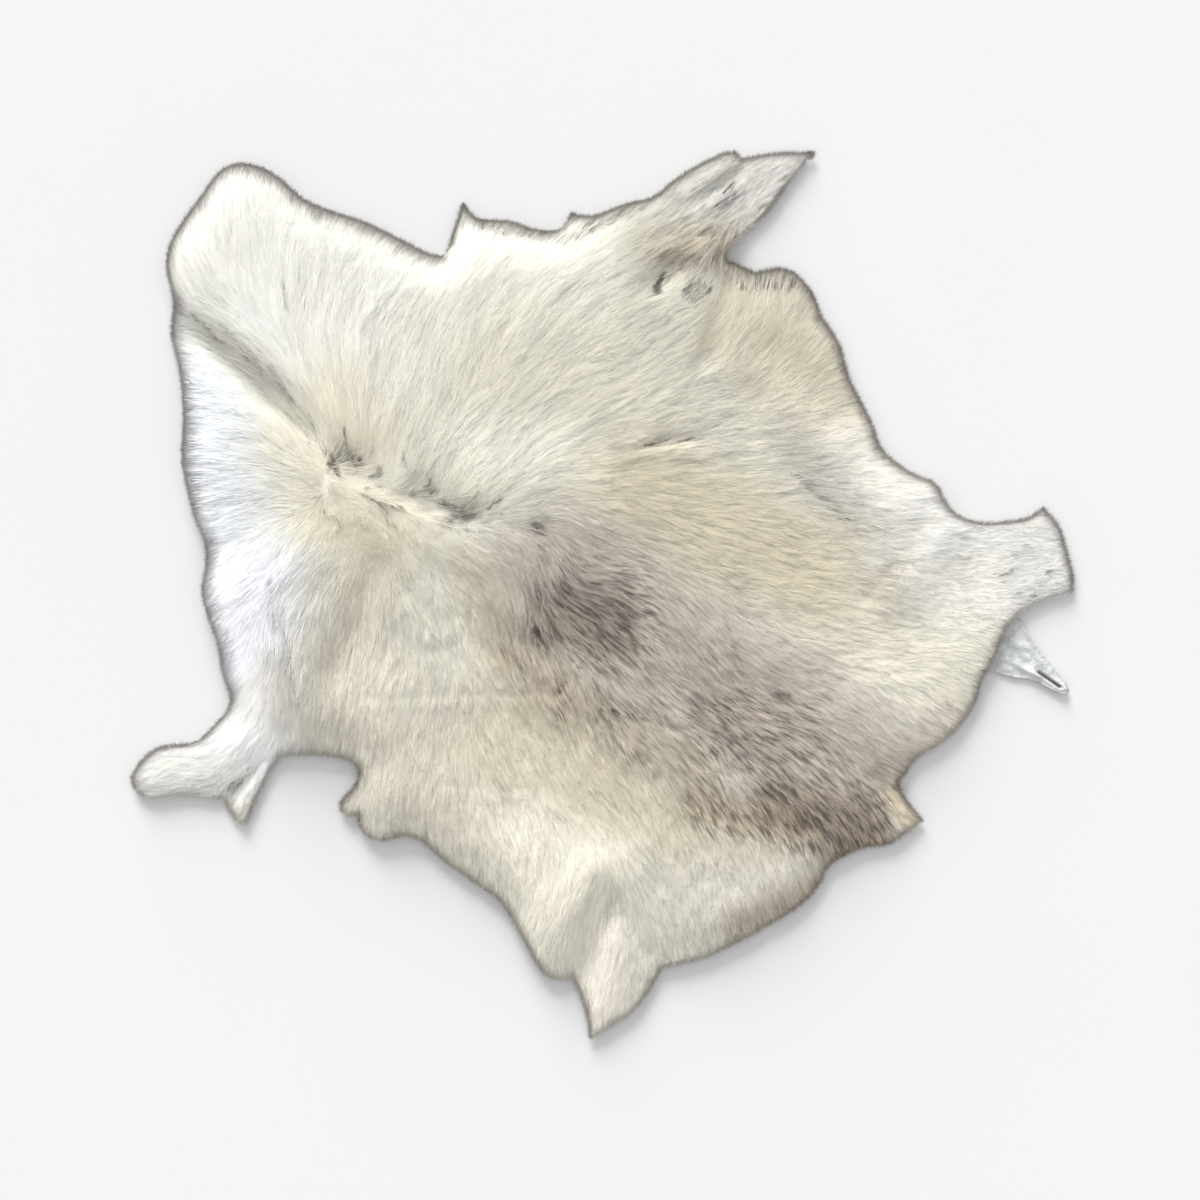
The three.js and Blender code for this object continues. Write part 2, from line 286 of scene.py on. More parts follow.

# Where the dark part of the hair shows between the tips; at the right armpit and in the fringes of the edge the
# strokes also paint shade: half width, share, and the points a stroke joins.
DARK_HAIR_AND_SHADE = {
    "whorl": [
        (5, 1, (-317, 189), (-314, 179)), (1.6, 0.9, (-317, 216), (-315, 194)),
        (2.2, 1.4, (-333, 184), (-327, 173)), (2.2, 1.45, (-333, 171), (-326, 165), (-321, 155)),
        (2.4, 1, (-319, 173), (-304, 179)), (2, 0.9, (-300, 182), (-293, 173), (-303, 168)),
        (2.8, 0.8, (-350, 206), (-340, 188)), (1.6, 0.45, (-376, 227), (-360, 198)),
        (1.6, 0.45, (-362, 232), (-350, 204)), (3.2, 0.7, (-275, 168), (-271, 160), (-284, 153)),
    ],
    "parting": [
        (1.8, 0.5, (-295, 134), (-282, 139), (-266, 145)), (2.2, 0.5, (-292, 131), (-275, 121)),
        (2.4, 0.8, (-273, 118), (-262, 115), (-240, 113)), (2.6, 0.6, (-233, 142), (-228, 131)),
        (2.2, 0.6, (-244, 188), (-240, 168)),
    ],
    "second whorl": [
        (2.8, 1, (-216, 142), (-207, 151)), (2.2, 0.4, (-220, 170), (-213, 155)),
        (3, 0.7, (-207, 139), (-198, 135)), (3.6, 1.1, (-197, 127), (-184, 118)),
        (2.6, 1.3, (-184, 117), (-165, 114), (-157, 124)), (2.2, 0.8, (-157, 124), (-147, 143)),
        (2.4, 1.2, (-171, 113), (-165, 107)), (2.2, 1.45, (-181, 103), (-163, 103), (-153, 107)),
        (2.4, 1.1, (-201, 101), (-182, 97), (-158, 103)), (4, 0.2, (-220, 114), (-205, 117)),
        (2, 0.6, (-195, 93), (-172, 84)), (2.2, 0.55, (-164, 86), (-145, 87)),
    ],
    "before the saddle": [
        (1.8, 0.7, (-137, 114), (-119, 127)), (1.8, 0.6, (-148, 98), (-118, 110)),
    ],
    "curly patch": [
        (3, 0.4, (-343, 108), (-318, 96), (-330, 84)), (3, 0.5, (-302, 112), (-296, 96), (-284, 88)),
        (2.6, 0.45, (-264, 108), (-260, 96), (-250, 88)),
    ],
    "throat": [
        (2.4, 0.5, (-510, 358), (-470, 320)), (2.6, 0.4, (-470, 345), (-438, 300)),
        (3, 0.45, (-441, 314), (-414, 278)), (4, 0.6, (-410, 290), (-384, 248)),
        (2.4, 0.4, (-395, 240), (-360, 208)),
    ],
    "neck and mane": [
        (1.8, 0.4, (-392, 400), (-388, 362)), (3.5, 0.3, (-412, 28), (-404, -36)),
        (4.5, 0.35, (-396, -10), (-386, -80), (-376, -132)),
    ],
    "front of the saddle": [
        (2.6, 0.8, (-83, 95), (-67, 91)), (3, 0.9, (-77, 87), (-65, 81)), (2, 0.6, (-76, 73), (-66, 60)),
        (6, 1.1, (-80, -46), (-62, -50)), (4, 1, (-72, -52), (-66, -64)),
    ],
    "scar": [
        (2.2, 0.8, (-8, -66), (-24, -86)), (2.2, 0.6, (-24, -86), (-38, -100), (-54, -124)),
        (2.2, 0.55, (0, -137), (40, -145), (64, -146)),
    ],
    "saddle": [
        (3.5, 0.7, (56, -93), (65, -98)), (4, 0.4, (170, -60), (182, -92)),
        (5, 0.65, (227, -118), (238, -124)), (2.5, 0.45, (284, -118), (291, -121)),
        (6, 0.8, (212, -236), (232, -252)), (5, 0.6, (232, -252), (262, -276)),
        (6, 0.8, (262, -276), (284, -286)),
    ],
    "right flank, crack": [
        (1.3, 0.8, (60, 193), (90, 196)), (1.6, 1, (90, 196), (122, 202)),
    ],
    # painted shade in the pit and folds of the right armpit, over some dark roots
    "right armpit": [
        (11, 0.4, (92, 428), (126, 436), (160, 428)), (4.2, 1.7, (76, 385), (80, 398), (87, 408)),
        (2.4, 0.9, (87, 408), (98, 412), (110, 416)), (2.2, 1, (106, 385), (126, 403)),
        (2.4, 1.2, (110, 379), (134, 398)), (2.4, 1.1, (118, 373), (141, 392)),
    ],
    # dark tips along the edge, with painted shade under the overhanging hair
    "right flank, fringe": [
        (8, 0.55, (160, 432), (170, 412), (190, 402)), (8, 0.55, (190, 402), (222, 405), (252, 404)),
        (6, 0.5, (252, 404), (284, 378)),
    ],
    # dark tips along the edge, with painted shade under the overhanging hair
    "shoulder, fringe": [
        (6, 0.6, (-184, 452), (-171, 495)), (7, 0.6, (-150, 478), (-100, 466), (-40, 458)),
        (8, 0.65, (-40, 458), (35, 486)), (5, 0.45, (35, 486), (98, 514)),
    ],
    "right foreleg": [
        (2.8, 1.5, (150, 493), (175, 508)), (1.8, 1.2, (160, 510), (170, 521)),
        (4, 0.5, (200, 480), (224, 514), (236, 528)), (3, 0.45, (86, 456), (96, 466)),
        (4, 0.4, (130, 456), (152, 470)),
    ],
    "right flank, streaks": [
        (6, 0.35, (250, 162), (302, 112)), (2, 0.6, (298, 105), (322, 100)),
    ],
    "right hind leg": [
        (1.6, 0.65, (502, 30), (520, 37)), (1.8, 0.6, (553, 20), (569, 38)),
        (1.8, 0.55, (520, 8), (550, 7)), (2.2, 0.35, (518, 58), (546, 66)),
    ],
    "left foreleg": [
        (4, 0.8, (-454, -234), (-443, -216)), (4, 0.5, (-464, -240), (-455, -232)),
    ],
}

# The turned shank, flesh side up: how far it reaches to each side of its own line, from its root to its tip.
SHANK_ROOT = (480, -50)
SHANK_HEADING = -30.7
SHANK = [
    # along, left, right
    (-14, 6, 12), (0, 30, 24), (15, 48, 30), (32, 44, 27), (46, 35, 24), (60, 29, 20), (75, 23, 12),
    (90, 18, 9.5), (105, 12, 9.5), (118, 7, 8), (126, 1, 3),
]
SHANK_THICKNESS = 1.6 * MM
SHANK_GRID = (57, 25)  # points along and across the shank
SHANK_FREE = (22, 46)  # along it, its folds begin at the first and have their full height from the second on

# Its folds: a line from one (along, left) to another, half width and height. Then its slit, with its depth.
SHANK_FOLDS = [
    (26, 22, 72, 6, 5, 3.4), (30, -6, 84, -4, 4, 2.8), (18, -22, 50, -14, 5, 2.4), (50, 22, 92, 9, 4, 2.2),
    (20, 6, 56, 14, 4, -1.6), (76, -0.5, 120, -1.5, 8, 4.2),
]
SHANK_SLIT = (82, 1.0, 114, -1.0, 2.1, 4.4)


# ---------------------------------------------------------------- what a user would change


class HideLook(bpy.types.PropertyGroup):
    """Sizes and colours of the hide."""

    skin_thickness: FloatProperty(
        name="Skin", description="Thickness of the tanned skin", default=2 * MM, min=1 * MM, unit="LENGTH"
    )
    skin_inset: FloatProperty(
        name="Skin inset", description="How far the cut edge lies inside the tips of the hair",
        default=4 * MM, unit="LENGTH",
    )
    hair_over_wool: FloatProperty(
        name="Hair over wool", description="How far the tips lie over the wool, as a share of their length",
        default=0.1, min=0.02, max=0.5, subtype="FACTOR",
    )
    fullness: FloatProperty(
        name="Fullness", description="Number of locks, as a share of the full coat", default=1.0,
        min=0.05, max=1.0, subtype="FACTOR",
    )
    seed: IntProperty(name="Seed", description="Number that the random draws start from", default=11)
    # the root colour also paints shade: in the pit and folds of the right armpit, and in the shank's slit
    root_and_shade_colour: FloatVectorProperty(
        name="Roots", description="Pigment at the root of the hair", subtype="COLOR", size=3,
        default=linear("#5E564F"),
    )
    # the colour of the edge tips is also painted shade: the shadow under the overhanging edge
    edge_tip_and_shade_colour: FloatVectorProperty(
        name="Edge tips", description="Pigment of the hair tips along the cut edge", subtype="COLOR", size=3,
        default=linear("#6E655F"),
    )
    skin_colour: FloatVectorProperty(
        name="Skin", description="Flesh side of the tanned skin", subtype="COLOR", size=3,
        default=linear("#E3DED2"),
    )
    shank_colour: FloatVectorProperty(
        name="Shank", description="Bare, dried skin of the turned shank", subtype="COLOR", size=3,
        default=linear("#CBCDCD"),
    )


class StageLook(bpy.types.PropertyGroup):
    """Floor, light and camera."""

    floor_colour: FloatVectorProperty(
        name="Floor", description="Colour of the floor", subtype="COLOR", size=3, default=linear("#DADADA")
    )
    camera_height: FloatProperty(
        name="Camera height", description="Height of the camera over the floor", default=4.0, unit="LENGTH"
    )
    view_width: FloatProperty(
        name="View width", description="Width of floor that the camera sees", default=1504 * MM, unit="LENGTH"
    )
    lamp_strength: FloatProperty(name="Lamp", description="Strength of the soft lamp", default=5.95)
    lamp_width: FloatProperty(
        name="Lamp width", description="Angle that the soft lamp fills, seen from the hide",
        default=math.radians(30), subtype="ANGLE",
    )
    sky_strength: FloatProperty(name="Sky", description="Strength of the even light all round", default=0.79)


# ---------------------------------------------------------------- the chart and its fields


def to_row(points):
    """Points on the chart, in metres, as points of the row frame."""
    x, y, z = points[..., 0], points[..., 1], points[..., 2]
    across = (x + y) * HALF_ROOT - CHART_CENTRE[0]
    along = (y - x) * HALF_ROOT - CHART_CENTRE[1]
    return np.stack([across, along, z], -1)


def to_chart(points):
    """Points of the row frame as points on the chart."""
    across, along = points[..., 0] + CHART_CENTRE[0], points[..., 1] + CHART_CENTRE[1]
    return np.stack([(across - along) * HALF_ROOT, (across + along) * HALF_ROOT, points[..., 2]], -1)


def coat_outline(node):
    """The edge of the coat on the chart, in order: the rim of the patch of faces that look up."""
    shape = bmesh.new()
    shape.from_mesh(node.data)
    bmesh.ops.remove_doubles(shape, verts=shape.verts, dist=0.01 * MM)
    facing_up = {f for f in shape.faces if f.normal.z > 0.05}
    patch = {max(facing_up, key=lambda f: f.calc_center_median().z)}
    front = list(patch)
    while front:
        around = {g for e in front.pop().edges for g in e.link_faces if g in facing_up and g not in patch}
        patch |= around
        front += around
    ways = {}
    for edge in shape.edges:
        if sum(f in patch for f in edge.link_faces) == 1:
            for vert in edge.verts:
                ways.setdefault(vert, []).append(edge.other_vert(vert))
    first = min(ways, key=lambda v: v.co.y)
    rim, last = [first], None
    while True:
        here = rim[-1]
        ahead = next(v for v in ways[here] if v is not last)
        if ahead is first:
            break
        last = here
        rim.append(ahead)
    points = to_chart(np.array([v.co for v in rim]))[:, :2]
    shape.free()
    return points


def raster_over(outline):
    """The points of the fields: an array of rows of (x, y)."""
    low, high = outline.min(0) - MARGIN, outline.max(0) + MARGIN
    across, up = (np.arange(a, b, RASTER) for a, b in zip(low, high))
    return np.stack(np.meshgrid(across, up), -1)


def stroke_distance(points, start, end):
    """Distance from points to the straight line between two points."""
    start, end = np.asarray(start, float), np.asarray(end, float)
    line = end - start
    share = np.clip(((points - start) @ line) / max(line @ line, 1e-12), 0, 1)
    return np.linalg.norm(points - start - share[..., None] * line, axis=-1)


def fold_share(points, x0, y0, x1, y1, half):
    """1 on a line given in millimetres, and next to 0 beyond twice its half width."""
    distance = stroke_distance(points, np.array([x0, y0]) * MM, np.array([x1, y1]) * MM)
    return np.exp(-((distance / (half * MM)) ** 2))


def squared_distance(points, x, y):
    """The square of the distance from points to one that is given in millimetres."""
    return np.sum((points - np.array([x, y]) * MM) ** 2, -1)


def depth_inside(points, outline):
    """How far points are from the outline: positive inside it, negative outside."""
    nearest = np.full(points.shape[:-1], np.inf)
    inside = np.zeros(points.shape[:-1], bool)
    for start, end in zip(outline, np.roll(outline, -1, 0)):
        nearest = np.minimum(nearest, stroke_distance(points, start, end))
        if start[1] != end[1]:
            spans = (points[..., 1] < start[1]) != (points[..., 1] < end[1])
            meets = start[0] + (points[..., 1] - start[1]) * (end[0] - start[0]) / (end[1] - start[1])
            inside ^= spans & (points[..., 0] < meets)
    return np.where(inside, nearest, -nearest)


def spread_out(field, known):
    """Carries the known values of a field outwards over the rest of it."""
    field, known = np.where(known, field, 0.0), known.copy()
    for _ in range(int(MARGIN / RASTER) + 2):
        total, count = np.zeros_like(field), np.zeros_like(field)
        for axis in (0, 1):
            for step in (-1, 1):
                total += np.roll(field * known, step, axis)
                count += np.roll(known, step, axis)
        fresh = ~known & (count > 0)
        field[fresh] = total[fresh] / count[fresh]
        known |= fresh
    return field


def soften(field, times):
    """Evens out a field between neighbouring points."""
    for _ in range(times):
        for axis in (0, 1):
            field = (np.roll(field, 1, axis) + 2 * field + np.roll(field, -1, axis)) / 4
    return field


def sample(chart, name, spots):
    """The values of a field at spots on the chart, drawn between its points."""
    raster, field = chart["raster"], chart[name]
    place = (spots - raster[0, 0]) / RASTER
    rows, columns = raster.shape[:2]
    x = np.clip(place[..., 0], 0, columns - 1.001)
    y = np.clip(place[..., 1], 0, rows - 1.001)
    i, j = x.astype(int), y.astype(int)
    u, v = x - i, y - j
    if field.ndim == 3:
        u, v = u[..., None], v[..., None]
    lower = field[j, i] * (1 - u) + field[j, i + 1] * u
    upper = field[j + 1, i] * (1 - u) + field[j + 1, i + 1] * u
    return lower * (1 - v) + upper * v


def ripple(points, size, seed):
    """Soft noise from -1 to 1 with swells about as wide as size, always the same in the same place."""
    place = points / size
    corner = np.floor(place)
    across, up = np.moveaxis(place - corner, -1, 0)
    across, up = across * across * (3 - 2 * across), up * up * (3 - 2 * up)

    def knot(right, above):
        # the usual sine hash: a number for each corner of the lattice that looks drawn at random
        x, y = corner[..., 0] + right, corner[..., 1] + above
        spin = np.sin(x * 127.1 + y * 311.7 + seed * 74.7) * 43758.5
        return 2 * (spin - np.floor(spin)) - 1

    lower = knot(0, 0) * (1 - across) + knot(1, 0) * across
    upper = knot(0, 1) * (1 - across) + knot(1, 1) * across
    return lower * (1 - up) + upper * up


def measure_heights(node, raster, inward):
    """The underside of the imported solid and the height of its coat, from rays through the raster's points."""
    corners = to_chart(np.array([v.co for v in node.data.vertices]))
    solid = BVHTree.FromPolygons(corners.tolist(), [tuple(p.vertices) for p in node.data.polygons])
    inside = inward > 0
    under, top = np.zeros(inside.shape), np.zeros(inside.shape)
    far = 1.0
    for j, i in np.argwhere(inside):
        x, y = raster[j, i]
        below = solid.ray_cast(Vector((x, y, -far)), Vector((0, 0, 1)))[0]
        above = solid.ray_cast(Vector((x, y, far)), Vector((0, 0, -1)))[0]
        if below is None or above is None:
            inside[j, i] = False
            continue
        under[j, i], top[j, i] = below.z, above.z
    under = spread_out(under, inside & ~on_shank(raster))
    top = spread_out(top, inside)
    return soften(under, 3), soften(top - under, 3)


def on_shank(points, spare=4 * MM):
    """Which points of the chart lie over the turned shank, or within a little of it."""
    along, aside = shank_place(points)
    rows = np.array(SHANK) * MM
    left = np.interp(along, rows[:, 0], rows[:, 1]) + spare
    right = np.interp(along, rows[:, 0], rows[:, 2]) + spare
    within = (along > rows[0, 0] - spare) & (along < rows[-1, 0] + spare)
    return within & (aside < left) & (aside > -right)


def shank_place(points):
    """How far along the shank's line points are, and how far to its left."""
    heading = math.radians(SHANK_HEADING)
    forward = np.array([math.cos(heading), math.sin(heading)])
    leftward = np.array([-forward[1], forward[0]])
    from_root = points - np.array(SHANK_ROOT) * MM
    return from_root @ forward, from_root @ leftward


def lie_of_the_coat(raster):
    """The unit vector that the hair follows, at every point of the raster."""
    total = np.zeros(raster.shape)
    sharpness = 16 * MM
    for x, y, heading in rows_of(LIE):
        weight = 1 / (squared_distance(raster, x, y) + sharpness**2) ** 2
        angle = math.radians(heading)
        total += weight[..., None] * np.array([math.cos(angle), math.sin(angle)])
    # the comb wavers: by up to 9 degrees over the width of a hand, and 7 degrees over that of two fingers
    turn = np.radians(9) * ripple(raster, 70 * MM, 1) + np.radians(7) * ripple(raster, 26 * MM, 2)
    length = np.maximum(np.linalg.norm(total, axis=-1, keepdims=True), 1e-9)
    x, y = np.moveaxis(total / length, -1, 0)
    return np.stack([x * np.cos(turn) - y * np.sin(turn), x * np.sin(turn) + y * np.cos(turn)], -1)


def blended(raster, column):
    """One column of the coat's table as a field."""
    weights, total = np.zeros(raster.shape[:2]), np.zeros(raster.shape[:2])
    for row in COAT:
        weight = np.exp(-squared_distance(raster, *row[1:3]) / (row[3] * MM) ** 2) + 1e-9
        weights += weight
        total += weight * row[column]
    return total / weights


def creases(raster):
    """How far the folds of the skin lift or sink the coat, at every point of the raster."""
    lift = np.zeros(raster.shape[:2])
    for *line, rise in rows_of(CREASES):
        lift += rise * MM * fold_share(raster, *line)
    return lift


def soft_mask(distance, half, edge):
    """1 on a stroke's line, 0 well outside its half width. Edge: how wide its soft rim is, in half widths."""
    share = np.clip(0.5 + (1 - distance / half) / edge, 0, 1)
    return share * share * (3 - 2 * share)


def coat_colour(raster):
    """The pigment of the hair, with painted shade in a few hollows and creases, in linear colour, at every
    point of the raster.
    """
    colour = np.ones((*raster.shape[:2], 3)) * linear(GROUND_COLOUR)
    for i, (x0, y0, x1, y1, half, code, strength) in enumerate(rows_of(MARKINGS)):
        # a marking's place in the table sets how its edge is ragged
        ragged = 1 + 0.22 * ripple(raster, 45 * MM, 20 + i) + 0.1 * ripple(raster, 14 * MM, 60 + i)
        distance = stroke_distance(raster, np.array([x0, y0]) * MM, np.array([x1, y1]) * MM)
        share = strength * soft_mask(distance * ragged, half * MM, 1.6)
        colour += share[..., None] * (np.array(linear(code)) - colour)
    return colour


def dark_strokes():
    """The straight strokes of dark hair and painted shade: from where to where, half the width in millimetres,
    and share.
    """
    for half, share, *line in rows_of(DARK_HAIR_AND_SHADE):
        for start, end in zip(line, line[1:]):
            yield np.array(start) * MM, np.array(end) * MM, half, share


def dark_hair_and_shade(points):
    """How much the dark part of the hair, and the shade painted with it, shows at points of the chart: 1 where
    all of it does.
    """
    ragged = 1 + 0.3 * ripple(points, 4 * MM, 90)
    shown = np.zeros(points.shape[:-1])
    for start, end, half, share in dark_strokes():
        distance = stroke_distance(points, start, end)
        shown = np.maximum(shown, share * soft_mask(distance * ragged, half * MM, 1.1))
    return shown


def swirl_share(raster):
    """How much the hair stands up and scatters, from 0 to 1, at every point of the raster."""
    shown = np.zeros(raster.shape[:2])
    for x, y, reach, share in SWIRLS.values():
        here = share * np.exp(-squared_distance(raster, x, y) / (reach * MM) ** 2)
        shown = np.maximum(shown, here)
    return shown


def draw_chart(node, look):
    """Everything that is known about the hide at each point of the chart."""
    outline = coat_outline(node)
    raster = raster_over(outline)
    inward = depth_inside(raster, outline)
    under, coat = measure_heights(node, raster, inward)
    swell = 1 + 0.06 * ripple(raster, 60 * MM, 3) + 0.03 * ripple(raster, 24 * MM, 4)
    folds = creases(raster)
    # the coat is shaded by its folds in full, and by its slope towards the edge only in part
    shaded = soften(0.22 * (under + coat * swell) + folds, 2)
    coat = np.clip(coat * swell + folds, LEAST_COAT, coat.max())
    swirl, length = swirl_share(raster), blended(raster, 4) * MM
    over_wool = 0.5 * MM + look.hair_over_wool * length
    near_edge = np.interp(inward - look.skin_inset, [0, 14 * MM], [0.4, 1])
    slope = np.stack(np.gradient(shaded, RASTER)[::-1], -1)
    colour = coat_colour(raster)
    outward = -np.stack(np.gradient(inward, RASTER)[::-1], -1)
    pigment = np.clip((0.6 - colour.mean(-1)) / 0.32, 0, 1) ** 1.5
    return {
        "outline": outline,
        "raster": raster,
        "inward": inward,
        "outward": outward,
        # the dark band of the cut edge is painted paler along the edges that face the maker, away from the
        # lamp, where the coat's own shadow already falls
        "edge_share": 1 - 0.55 * np.clip(-outward[..., 1], 0, 1),
        "under": under,
        "coat": coat,
        "over_wool": over_wool,
        "wool": np.maximum(coat - over_wool, 0.4 * coat) * near_edge,
        "slope": slope * np.interp(inward, [3 * MM, 18 * MM], [0.1, 1])[..., None],
        "lie": lie_of_the_coat(raster),
        "length": length,
        "width": blended(raster, 5) * MM,
        "per_cm2": blended(raster, 6) * (1 + swirl),
        "spread": blended(raster, 7) + 0.65 * pigment,  # dark hair differs more from lock to lock
        "colour": colour,
        "swirl": swirl,
    }


# ---------------------------------------------------------------- meshes


def mesh_from(name, verts, triangles):
    """A new object from arrays of points, in the row frame, and of triangles."""
    mesh = bpy.data.meshes.new(name)
    mesh.vertices.add(len(verts))
    mesh.vertices.foreach_set("co", np.asarray(verts, np.float32).ravel())
    mesh.loops.add(3 * len(triangles))
    mesh.loops.foreach_set("vertex_index", np.asarray(triangles, np.int32).ravel())
    mesh.polygons.add(len(triangles))
    mesh.polygons.foreach_set("loop_start", np.arange(0, 3 * len(triangles), 3, dtype=np.int32))
    mesh.update(calc_edges=True)
    mesh.validate()
    mesh.shade_smooth()
    piece = bpy.data.objects.new(name, mesh)
    bpy.context.scene.collection.objects.link(piece)
    return piece


def set_attribute(piece, name, kind, values):
    """A value for each point of a piece, for its material to read."""
    stored = piece.data.attributes.new(name, kind, "POINT").data
    stored.foreach_set("color" if kind == "FLOAT_COLOR" else "value", np.asarray(values, np.float32).ravel())


def opaque(colours):
    """Linear colours with an alpha of 1."""
    return np.concatenate([colours, np.ones((*colours.shape[:-1], 1))], -1)


def cutting_plan(chart, inset, spacing):
    """The skin laid flat and divided into triangles: points on the chart, and triangles."""
    outline = chart["outline"]
    loop = []
    for start, end in zip(outline, np.roll(outline, -1, 0)):
        count = max(1, round(float(np.linalg.norm(end - start)) / spacing))
        loop += [start + (end - start) * k / count for k in range(count)]
    loop = np.array(loop)
    for _ in range(8):
        # the cut edge moves most of the way to its inset, and is then evened out
        too_deep = sample(chart, "inward", loop) - inset
        loop = loop + unit(sample(chart, "outward", loop)) * too_deep[:, None] * 0.7
        loop = 0.5 * loop + 0.25 * (np.roll(loop, 1, 0) + np.roll(loop, -1, 0))
    low, high = loop.min(0), loop.max(0)
    row_gap = spacing * math.sqrt(3) / 2
    inner = [
        (x, y)
        for k, y in enumerate(np.arange(low[1], high[1], row_gap))
        for x in np.arange(low[0] + (k % 2) * spacing / 2, high[0], spacing)
    ]
    inner = np.array(inner)
    inner = inner[sample(chart, "inward", inner) > inset + 0.6 * spacing]
    points = [Vector(p) for p in np.concatenate([loop, inner])]
    ring = [(k, (k + 1) % len(loop)) for k in range(len(loop))]
    verts, _, faces, *_ = geometry.delaunay_2d_cdt(points, ring, [], 1, 1e-6)
    triangles = np.array([f for f in faces if len(f) == 3])
    return np.array(verts), triangles


def twice_areas(plan, triangles):
    """Twice the area of each triangle of a plan, below 0 where its corners run clockwise."""
    corners = plan[triangles]
    sides = corners[:, 1:] - corners[:, :1]
    return np.cross(sides[:, 0], sides[:, 1])


def layer(name, plan, triangles, low, high):
    """A closed sheet over a cutting plan, between its lower and upper heights."""
    count = len(plan)
    clockwise = twice_areas(plan, triangles)[:, None] < 0
    triangles = np.where(clockwise, triangles[:, ::-1], triangles)
    sides = {}
    for a, b, c in triangles.tolist():
        for edge in ((a, b), (b, c), (c, a)):
            sides[edge] = True
    rim = np.array([e for e in sides if (e[1], e[0]) not in sides])
    start, end = rim[:, 0], rim[:, 1]
    walls = [np.stack([start, end + count, start + count], 1), np.stack([start, end, end + count], 1)]
    verts = np.concatenate([np.column_stack([plan, low]), np.column_stack([plan, high])])
    faces = np.concatenate([triangles[:, ::-1], triangles + count, *walls])
    return mesh_from(name, to_row(verts), faces)


# ---------------------------------------------------------------- guard hair

WISP_SPACING = 9 * MM  # between the wisps that the locks lean to
STREAK_WIDTHS = (1.4 * MM, 2.4 * MM, 8 * MM)  # of the specks, streaks and sweeps of tone
EDGE_SPACING = 0.11 * MM  # between neighbouring edge hairs, along the outline
DARK_TIPS = 1.0 / MM**2  # dark-tipped hairs for each unit of area where all the hair shows dark
# Up a lock by shares of its length: its share of the way from wool to tips, and its share of its width.
LOCK_LIFT = ((0, 0), (0.34, 0.7), (0.67, 0.92), (1, 1))
LOCK_TAPER = ((0, 0.9), (0.4, 1.0), (0.75, 0.75), (1, 0))
LOCK_SUNK = 0.5 * MM  # how deep in the wool a lock begins
LOCK_ROUNDING = 0.6  # how far the sides of a lock look away from its ridge
LOCK_CALM = 0.72  # how much a lock is shaded as the coat as a whole is, and not on its own
LOCK_SEGMENTS = ((0, 1), (44 * MM, 2))  # locks from this length up are drawn in so many segments
LEAST_TONE, MOST_TONE = 0.4, 1.5  # of a lock, as shares of the lightness of its colour


def shaken_grid(chart, spacing, rng):
    """Points over the whole chart on a grid of that spacing, each moved at random within its cell."""
    low, high = chart["outline"].min(0), chart["outline"].max(0)
    grid = np.stack(np.meshgrid(*(np.arange(a, b, spacing) for a, b in zip(low, high))), -1).reshape(-1, 2)
    return grid + rng.uniform(-0.5, 0.5, grid.shape) * spacing


def gather_wisps(chart, roots, spacing, rng):
    """The wisp that each root leans to, from a shaken grid of wisps: its index, and where each wisp is."""
    low, high = chart["outline"].min(0), chart["outline"].max(0)
    last = np.ceil((high - low) / spacing).astype(int)
    centres = np.stack(np.meshgrid(*(np.arange(n + 1) for n in last)), -1) * spacing + low
    centres += rng.uniform(-0.5, 0.5, centres.shape) * spacing
    home = np.round((roots - low) / spacing).astype(int)
    index, least = np.zeros(len(roots), int), np.full(len(roots), np.inf)
    for step in ((x, y) for x in (-1, 0, 1) for y in (-1, 0, 1)):
        cell = np.clip(home + step, 0, last)
        away = np.linalg.norm(roots - centres[cell[:, 1], cell[:, 0]], axis=1)
        index = np.where(away < least, cell[:, 1] * (last[0] + 1) + cell[:, 0], index)
        least = np.minimum(away, least)
    return index, centres.reshape(-1, 2)


def unit(vectors):
    """Vectors at a length of 1."""
    return vectors / np.maximum(np.linalg.norm(vectors, axis=-1, keepdims=True), 1e-9)


def combed(chart, spots, reach, sizes):
    """Noises drawn out along the lie of the coat: streaks about as wide as each size and twice reach long."""
    steps = 8
    totals = np.zeros((len(sizes), len(spots)))
    for way in (-1, 1):
        place = spots
        for _ in range(steps):
            for seed, size in enumerate(sizes):
                totals[seed] += ripple(place, size, seed + 5)
            place = place + unit(sample(chart, "lie", place)) * (way * reach / steps)[:, None]
    return totals / totals.std(1, keepdims=True)


def plant_roots(chart, look, rng):
    """The roots of the locks: a shaken grid, thinned to how dense the coat is in each place."""
    densest = chart["per_cm2"].max()
    roots = shaken_grid(chart, math.sqrt(1e-4 / densest), rng)
    on_skin = sample(chart, "inward", roots) > look.skin_inset
    share = sample(chart, "per_cm2", roots) / densest * look.fullness
    return roots[on_skin & (rng.random(len(roots)) < share)]


